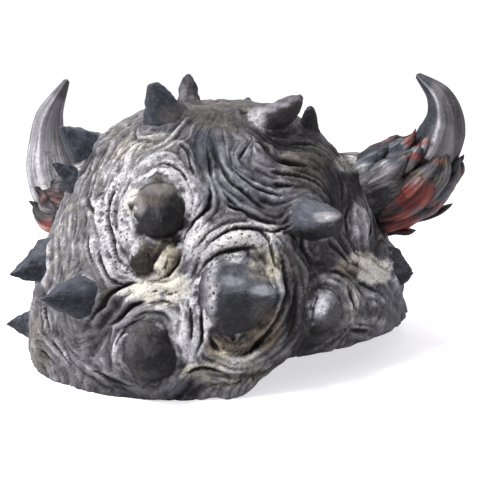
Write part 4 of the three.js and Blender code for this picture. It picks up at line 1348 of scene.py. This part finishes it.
def flake_shape(temple, flake, share, aside):
    """A flake's outer and inner layer, the way each of its points faces, its outline and its crown."""
    turn, start, end, spread, tip, pointed = flake
    side = temple["side"]
    along = start + (end - start) * share
    on_collar = np.clip(along, 0, 1)
    centres, tangents, across, upward, radii = temple_curve(temple["collar"], side, on_collar)
    beyond = (along - on_collar) * COLLAR_LENGTH
    centres = centres + tangents * beyond[:, None]
    radii = np.maximum(radii, FLAKE_BEND)
    outline = (1 - share ** (3.4 - 1.8 * pointed)) ** 0.6 * (0.75 + 0.25 * np.sin(pi * share))
    outline[-1] = 0.03
    skew = radians(rng.uniform(-10, 10))
    angle = radians(turn) + skew * share[:, None] + radians(spread) * outline[:, None] * aside * side
    grain = np.stack(np.broadcast_arrays(9 * outline[:, None] * aside, 34 * share[:, None], turn), -1)
    stretched = grain * [1, 0.18, 1]
    carved = noise(grain, size=8, seed=51) + 0.6 * noise(stretched, size=2.2, seed=52)
    closing = 1 - share[:, None] ** 8
    crown = closing * (2.6 * (1 - aside ** 2) ** 0.7 + carved * (1 - aside ** 4))
    lift = tip * share[:, None] ** 2 + 1.5 * np.sin(pi * share[:, None]) - 0.8
    outer = radii[:, None] + lift + crown
    thickness = 0.2 + closing * (1 + 4 * (1 - share[:, None])) + 0 * aside
    inner = radii[:, None] + lift - thickness * (1 - 0.6 * np.abs(aside))
    outward = np.cos(angle)[..., None] * across[:, None] + np.sin(angle)[..., None] * upward[:, None]
    layers = [centres[:, None] + radius[..., None] * outward for radius in (outer, inner)]
    return layers, outward, outline, crown


def flake_paint(points, outward, share, crown):
    """A flake's amounts of paint: its areas' where the camera sees it, and chance ones elsewhere."""
    middle = FLAKE_ROWS // 2, FLAKE_COLUMNS // 2
    own = area_paint(COLLAR_AREAS, points[middle], outward[middle], PLAIN_COLLAR, PLAIN_WEIGHT)
    local = area_paint(COLLAR_AREAS, points, outward, PLAIN_COLLAR, PLAIN_WEIGHT)
    seen_share = float(step_between(facing(points[middle], outward[middle]), -0.1, 0.2))
    chance = dict(tone=rng.uniform(0.05, 0.35), slate=rng.uniform(0, 1), brown=rng.uniform(0, 0.5),
                  red=rng.choice([0.0, 0.4, 1.0], p=[0.5, 0.2, 0.3]), cream=0, speckly=0.3)
    paint = {}
    for field, value in chance.items():
        placed = 0.4 * own.get(field, value) + 0.6 * local.get(field, value)
        paint[field] = seen_share * placed + (1 - seen_share) * value + np.zeros_like(crown)
    lighter = 0.3 * share[:, None] ** 5 + 0.2 * (crown - crown.mean())
    paint["tone"] = 0.8 * paint["tone"] - 0.04 + lighter + 0.12 * rng.uniform(-1, 1)
    return paint


def flakes_piece(name, temple):
    """The collar's overlapping flakes, in one mesh: each hugs the collar and lifts towards its tip."""
    points = []
    faces = []
    fields = {field: [] for field in ("tone", "red", "slate", "brown", "cream", "speckly", *GRAIN_FIELDS)}
    share = np.linspace(0, 1, FLAKE_ROWS)
    aside = np.linspace(-1, 1, FLAKE_COLUMNS)
    for flake in flakes_of(temple["side"]):
        layers, outward, outline, crown = flake_shape(temple, flake, share, aside)
        first = sum(len(part) for part in points)
        points.append(np.concatenate([layer.reshape(-1, 3) for layer in layers]))
        faces += slab_faces(FLAKE_ROWS, FLAKE_COLUMNS, first)
        paint = flake_paint(layers[0], outward, share, crown)
        streaks = (5 * aside * outline[:, None], flake[0] / 10, 1.5 * share[:, None])
        for field, values in (*paint.items(), *zip(GRAIN_FIELDS, streaks)):
            fields[field].append(np.tile(np.broadcast_to(values, crown.shape).ravel(), 2))
    if temple["side"] < 0:
        faces = [face[::-1] for face in faces]
    fields = {field: np.concatenate(values) for field, values in fields.items()}
    points = np.concatenate(points)
    points[:, 0] = np.clip(points[:, 0], -WIDEST, WIDEST)
    return mesh_piece(name, points, faces, fields)


def slab_faces(rows, columns, first):
    """The faces of a closed slab: a top and a bottom grid of points, joined round their edge."""
    top = first + np.arange(rows * columns).reshape(rows, columns)
    low = top + rows * columns
    faces = []
    for row in range(rows - 1):
        for column in range(columns - 1):
            corners = [(row, column), (row, column + 1), (row + 1, column + 1), (row + 1, column)]
            faces.append(tuple(int(top[corner]) for corner in corners))
            faces.append(tuple(int(low[corner]) for corner in reversed(corners)))
    edge = [(0, column) for column in range(columns)]
    edge += [(row, columns - 1) for row in range(1, rows)]
    edge += [(rows - 1, column) for column in range(columns - 2, -1, -1)]
    edge += [(row, 0) for row in range(rows - 2, 0, -1)]
    for here, after in zip(edge, edge[1:] + edge[:1]):
        faces.append((int(top[here]), int(low[here]), int(low[after]), int(top[after])))
    return faces


def hex_colour(code):
    """A colour written as sRGB hex, turned linear."""
    channels = [int(code[start:start + 2], 16) / 255 for start in (1, 3, 5)]
    linear = [c / 12.92 if c <= 0.04045 else ((c + 0.055) / 1.055) ** 2.4 for c in channels]
    return (*linear, 1.0)


# Coats of paint, each from where it is thick and dark to where it is brushed thin and light.
GREY_COAT = ("#110f12", "#373539", "#6a686c", "#9f9da2", "#ece9ec")
SLATE_COAT = ("#0f0f14", "#2d2f37", "#565a66", "#878c98", "#c0c3ca")
BROWN_COAT = ("#130f0d", "#39322d", "#665d51", "#918775", "#bfb6a2")
CREAM_COAT = ("#1f1c18", "#4a463c", "#7d786b", "#b6b09f", "#f3eee0")
RED_COAT = ("#1d0e0f", "#49201f", "#7d3833", "#ad6459", "#dcb5a8")
PIT_COLOUR = "#17150f"
LINING_COLOUR = "#3a3734"
# How large the marks in the paint are, in metres: mottling, brush speckle and scuffs, and how far
# apart casting pits lie.
MOTTLE_SIZE = 0.009
SPECKLE_SIZE = 0.0011
SCUFF_SIZE = 0.0021
PIT_GAP = 0.003


def coat(tree, tone, colours):
    """One coat of paint over these colours."""
    node = add(tree, "ShaderNodeValToRGB", {"Fac": tone})
    stops = node.color_ramp.elements
    for index, colour in enumerate(colours[1:-1], 1):
        stops.new(index / (len(colours) - 1)).color = hex_colour(colour)
    stops[0].color = hex_colour(colours[0])
    stops[-1].color = hex_colour(colours[-1])
    return node.outputs["Color"]


def brushed_edge(tree, share, mottle):
    """The share of a coat, with its edge broken by the mottling."""
    return ranged(tree, computed(tree, "MULTIPLY_ADD", mottle, 0.9, share), 0.7, 1.2)


def noise_texture(tree, place, size, detail, roughness=0.65):
    return add(tree, "ShaderNodeTexNoise", {
        "Vector": place, "Scale": 1 / size, "Detail": detail, "Roughness": roughness,
    }).outputs[0]


def laid_over(tree, share, under, over):
    """One colour over another, by this share."""
    return add(tree, "ShaderNodeMix", {0: share, 6: under, 7: over}, data_type="RGBA").outputs[2]


def brush_marks(tree, place, fields):
    """The marks of the brush: mottling, speckle, streaks that follow the grain, and scuffs."""
    # Scuffs are where a dry brush caught dark paint, and where light paint is worn off.
    scuffs = ranged(tree, noise_texture(tree, place, SCUFF_SIZE, 4.0), 0.5, 0.68, 0.0, 0.24)
    sense = ranged(tree, fields["tone"], 0.3, 0.8, 0.7, -0.75)
    return dict(
        mottle=noise_texture(tree, place, MOTTLE_SIZE, 6.0),
        speckle=noise_texture(tree, place, SPECKLE_SIZE, 3.0, roughness=0.6),
        streak=noise_texture(tree, grain_place(tree, fields), 1.0, 5.0),
        scuff=computed(tree, "MULTIPLY", scuffs, sense),
    )


def pit_marks(tree, place, fields, mottle):
    """Casting pits 1 to 2 mm wide, in patches."""
    gaps = add(tree, "ShaderNodeTexVoronoi", {"Vector": place, "Scale": 1 / PIT_GAP}).outputs["Distance"]
    pit = computed(tree, "MULTIPLY", ranged(tree, gaps, 0.2, 0.34, 1.0, 0.0), fields["pits"])
    return computed(tree, "MULTIPLY", pit, ranged(tree, mottle, 0.4, 0.52))


def varied_tone(tree, fields, marks, streaky):
    """How light the paint is: the lighter it is brushed, the more it varies."""
    contrast = ranged(tree, fields["tone"], 0.0, 1.0, 0.35, 1.25)
    mottled = ranged(tree, marks["mottle"], 0.25, 0.75, -0.11, 0.11)
    speckled = ranged(tree, marks["speckle"], 0.3, 0.7, -0.11, 0.11)
    streaked = ranged(tree, marks["streak"], 0.25, 0.75, -streaky, streaky)
    varied = computed(tree, "MULTIPLY_ADD", speckled, fields["speckly"], mottled)
    varied = computed(tree, "ADD", varied, streaked)
    tone = computed(tree, "MULTIPLY_ADD", varied, contrast, fields["tone"])
    return computed(tree, "ADD", tone, marks["scuff"])


def layered_colour(tree, fields, tone, mottle, pit):
    """The coats, one over the other, with dark pits, and the plain lining."""
    colour = coat(tree, tone, GREY_COAT)
    for field, colours in (
        ("slate", SLATE_COAT), ("brown", BROWN_COAT), ("cream", CREAM_COAT), ("red", RED_COAT),
    ):
        edge = brushed_edge(tree, fields[field], mottle)
        colour = laid_over(tree, edge, colour, coat(tree, tone, colours))
    colour = laid_over(tree, pit, colour, hex_colour(PIT_COLOUR))
    return laid_over(tree, fields["lining"], colour, hex_colour(LINING_COLOUR))


def latex_paint(name, roughness, streaky):
    """Painted latex: coats brushed over each other, with pits left dark."""
    material = bpy.data.materials.new(name)
    material.use_nodes = True
    tree = material.node_tree
    tree.nodes.clear()
    place = add(tree, "ShaderNodeTexCoord").outputs["Object"]
    fields = {}
    for field in ("tone", "cream", "brown", "slate", "red", "pits", "speckly", "lining", "number",
                  *GRAIN_FIELDS):
        fields[field] = add(tree, "ShaderNodeAttribute", attribute_name=field).outputs["Fac"]
    marks = brush_marks(tree, place, fields)
    mottle = marks["mottle"]
    pit = pit_marks(tree, place, fields, mottle)
    tone = varied_tone(tree, fields, marks, streaky)

    relief = computed(tree, "MULTIPLY", marks["speckle"], 0.6)
    relief = computed(tree, "MULTIPLY_ADD", pit, -1.6, relief)
    relief = computed(tree, "MULTIPLY_ADD", mottle, 1.4, relief)
    relief = computed(tree, "MULTIPLY_ADD", marks["streak"], 4 * streaky, relief)
    normal = add(tree, "ShaderNodeBump", {"Strength": 0.8, "Distance": 0.0009, "Height": relief}).outputs[0]
    shader = add(tree, "ShaderNodeBsdfPrincipled", {
        "Base Color": layered_colour(tree, fields, tone, mottle, pit),
        "Roughness": ranged(tree, mottle, 0.3, 0.7, roughness - 0.08, roughness + 0.1),
        "Normal": normal, "IOR": 1.5, "Specular IOR Level": 0.28,
    }).outputs[0]
    add(tree, "ShaderNodeOutputMaterial", {"Surface": shader})
    return material


def set_camera():
    """The photograph's camera, fitted to its outlines."""
    place, right, up, forward = camera_frame()
    data = bpy.data.cameras.new("camera")
    data.sensor_width = 36
    data.lens = PIXELS_PER_MM * CAMERA_DISTANCE / PICTURE_SIDE * data.sensor_width
    data.shift_x = (PICTURE_SIDE / 2 - AIM_PIXEL[0]) / PICTURE_SIDE
    data.shift_y = (AIM_PIXEL[1] - PICTURE_SIDE / 2) / PICTURE_SIDE
    camera = bpy.data.objects.new("camera", data)
    matrix = Matrix.Identity(4)
    for column, axis in enumerate((right, up, -forward, (place + AXIS) * MM)):
        for row in range(3):
            matrix[row][column] = axis[row]
    camera.matrix_world = matrix
    bpy.context.scene.collection.objects.link(camera)
    bpy.context.scene.camera = camera


def set_stage():
    """A pale floor, pale surroundings and soft lights: the main one from the upper left."""
    half = 30.0
    mesh = bpy.data.meshes.new("floor")
    corners = [(-half, -half, 0), (half, -half, 0), (half, half, 0), (-half, half, 0)]
    mesh.from_pydata(corners, [], [(0, 1, 2, 3)])
    floor = bpy.data.objects.new("floor", mesh)
    bpy.context.scene.collection.objects.link(floor)
    cloth = bpy.data.materials.new("pale_floor")
    cloth.use_nodes = True
    shader = cloth.node_tree.nodes["Principled BSDF"]
    shader.inputs["Base Color"].default_value = hex_colour("#e9e8ec")
    shader.inputs["Roughness"].default_value = 0.9
    shader.inputs["Emission Color"].default_value = hex_colour("#f4f3f7")
    looked_at = add(cloth.node_tree, "ShaderNodeLightPath").outputs["Is Camera Ray"]
    glow = ranged(cloth.node_tree, looked_at, 0.0, 1.0, 0.0, 0.7)
    cloth.node_tree.links.new(glow, shader.inputs["Emission Strength"])
    mesh.materials.append(cloth)
    world = bpy.data.worlds.new("studio")
    world.use_nodes = True
    # The surroundings look white, and light the mask half as strongly.
    sky = world.node_tree
    looked_at = add(sky, "ShaderNodeLightPath").outputs["Is Camera Ray"]
    sky.nodes["Background"].inputs[0].default_value = hex_colour("#fbfafd")
    strength = ranged(sky, looked_at, 0.0, 1.0, 0.5, 1.1)
    sky.links.new(strength, sky.nodes["Background"].inputs[1])
    bpy.context.scene.world = world
    bpy.context.scene.view_settings.view_transform = "Standard"
    _, right, up, forward = camera_frame()
    lit = Vector((0, 0, 0.08))
    for name, across, above, towards, size, power in (
        ("key", -0.9, 1.1, 0.55, 0.7, 24), ("top", 0.0, 1.4, -0.2, 1.0, 4),
    ):
        data = bpy.data.lights.new(name, "AREA")
        data.size = size
        data.energy = power
        lamp = bpy.data.objects.new(name, data)
        lamp.location = Vector(right * across + up * above - forward * towards) + lit
        lamp.rotation_euler = (lit - lamp.location).to_track_quat("-Z", "Y").to_euler()
        bpy.context.scene.collection.objects.link(lamp)


def finish_piece(piece, node, material=None):
    """Gives a piece its paint, hangs it on the mask and hides the solid that it stands for."""
    if material:
        piece.data.materials.clear()
        piece.data.materials.append(material)
    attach(piece, "root")
    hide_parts(node)


def build():
    """Sets the stage, and makes every piece and hangs it on the mask."""
    set_camera()
    set_stage()
    # Cast latex, dry-brushed silver over black: a dull sheen, light on the folds and dark between, partly
    # as painted shade in the creases; the spikes carry painted highlights and painted shade too.
    skin_latex = latex_paint("brushed_latex_skin", roughness=0.42, streaky=0.14)
    # The same latex streaked along the horn, which makes it look grown.
    horn_latex = latex_paint("streaked_latex_horn", roughness=0.42, streaky=0.26)
    # Latex painted thickly in black, slate and red: glossier, with coarse strokes along each flake.
    collar_latex = latex_paint("glossy_latex_collar", roughness=0.34, streaky=0.5)
    finish_piece(skin_piece(), "mask_skin", skin_latex)
    finish_piece(spikes_piece(skin_latex), "mask_skin")
    for name, temple in (("right", RIGHT), ("left", LEFT)):
        node = f"horn_{name}"
        side = temple["side"]
        horn = tapered_bar(
            f"{name}_horn", temple["horn"], side, HORN_SIDES, HORN_ROWS, horn_carve, horn_fields)
        finish_piece(horn, node, horn_latex)
        body = tapered_bar(
            f"{name}_collar", temple["collar"], side, COLLAR_SIDES, COLLAR_ROWS, collar_carve,
            collar_fields)
        finish_piece(body, node, collar_latex)
        finish_piece(flakes_piece(f"{name}_flakes", temple), node, collar_latex)


build()
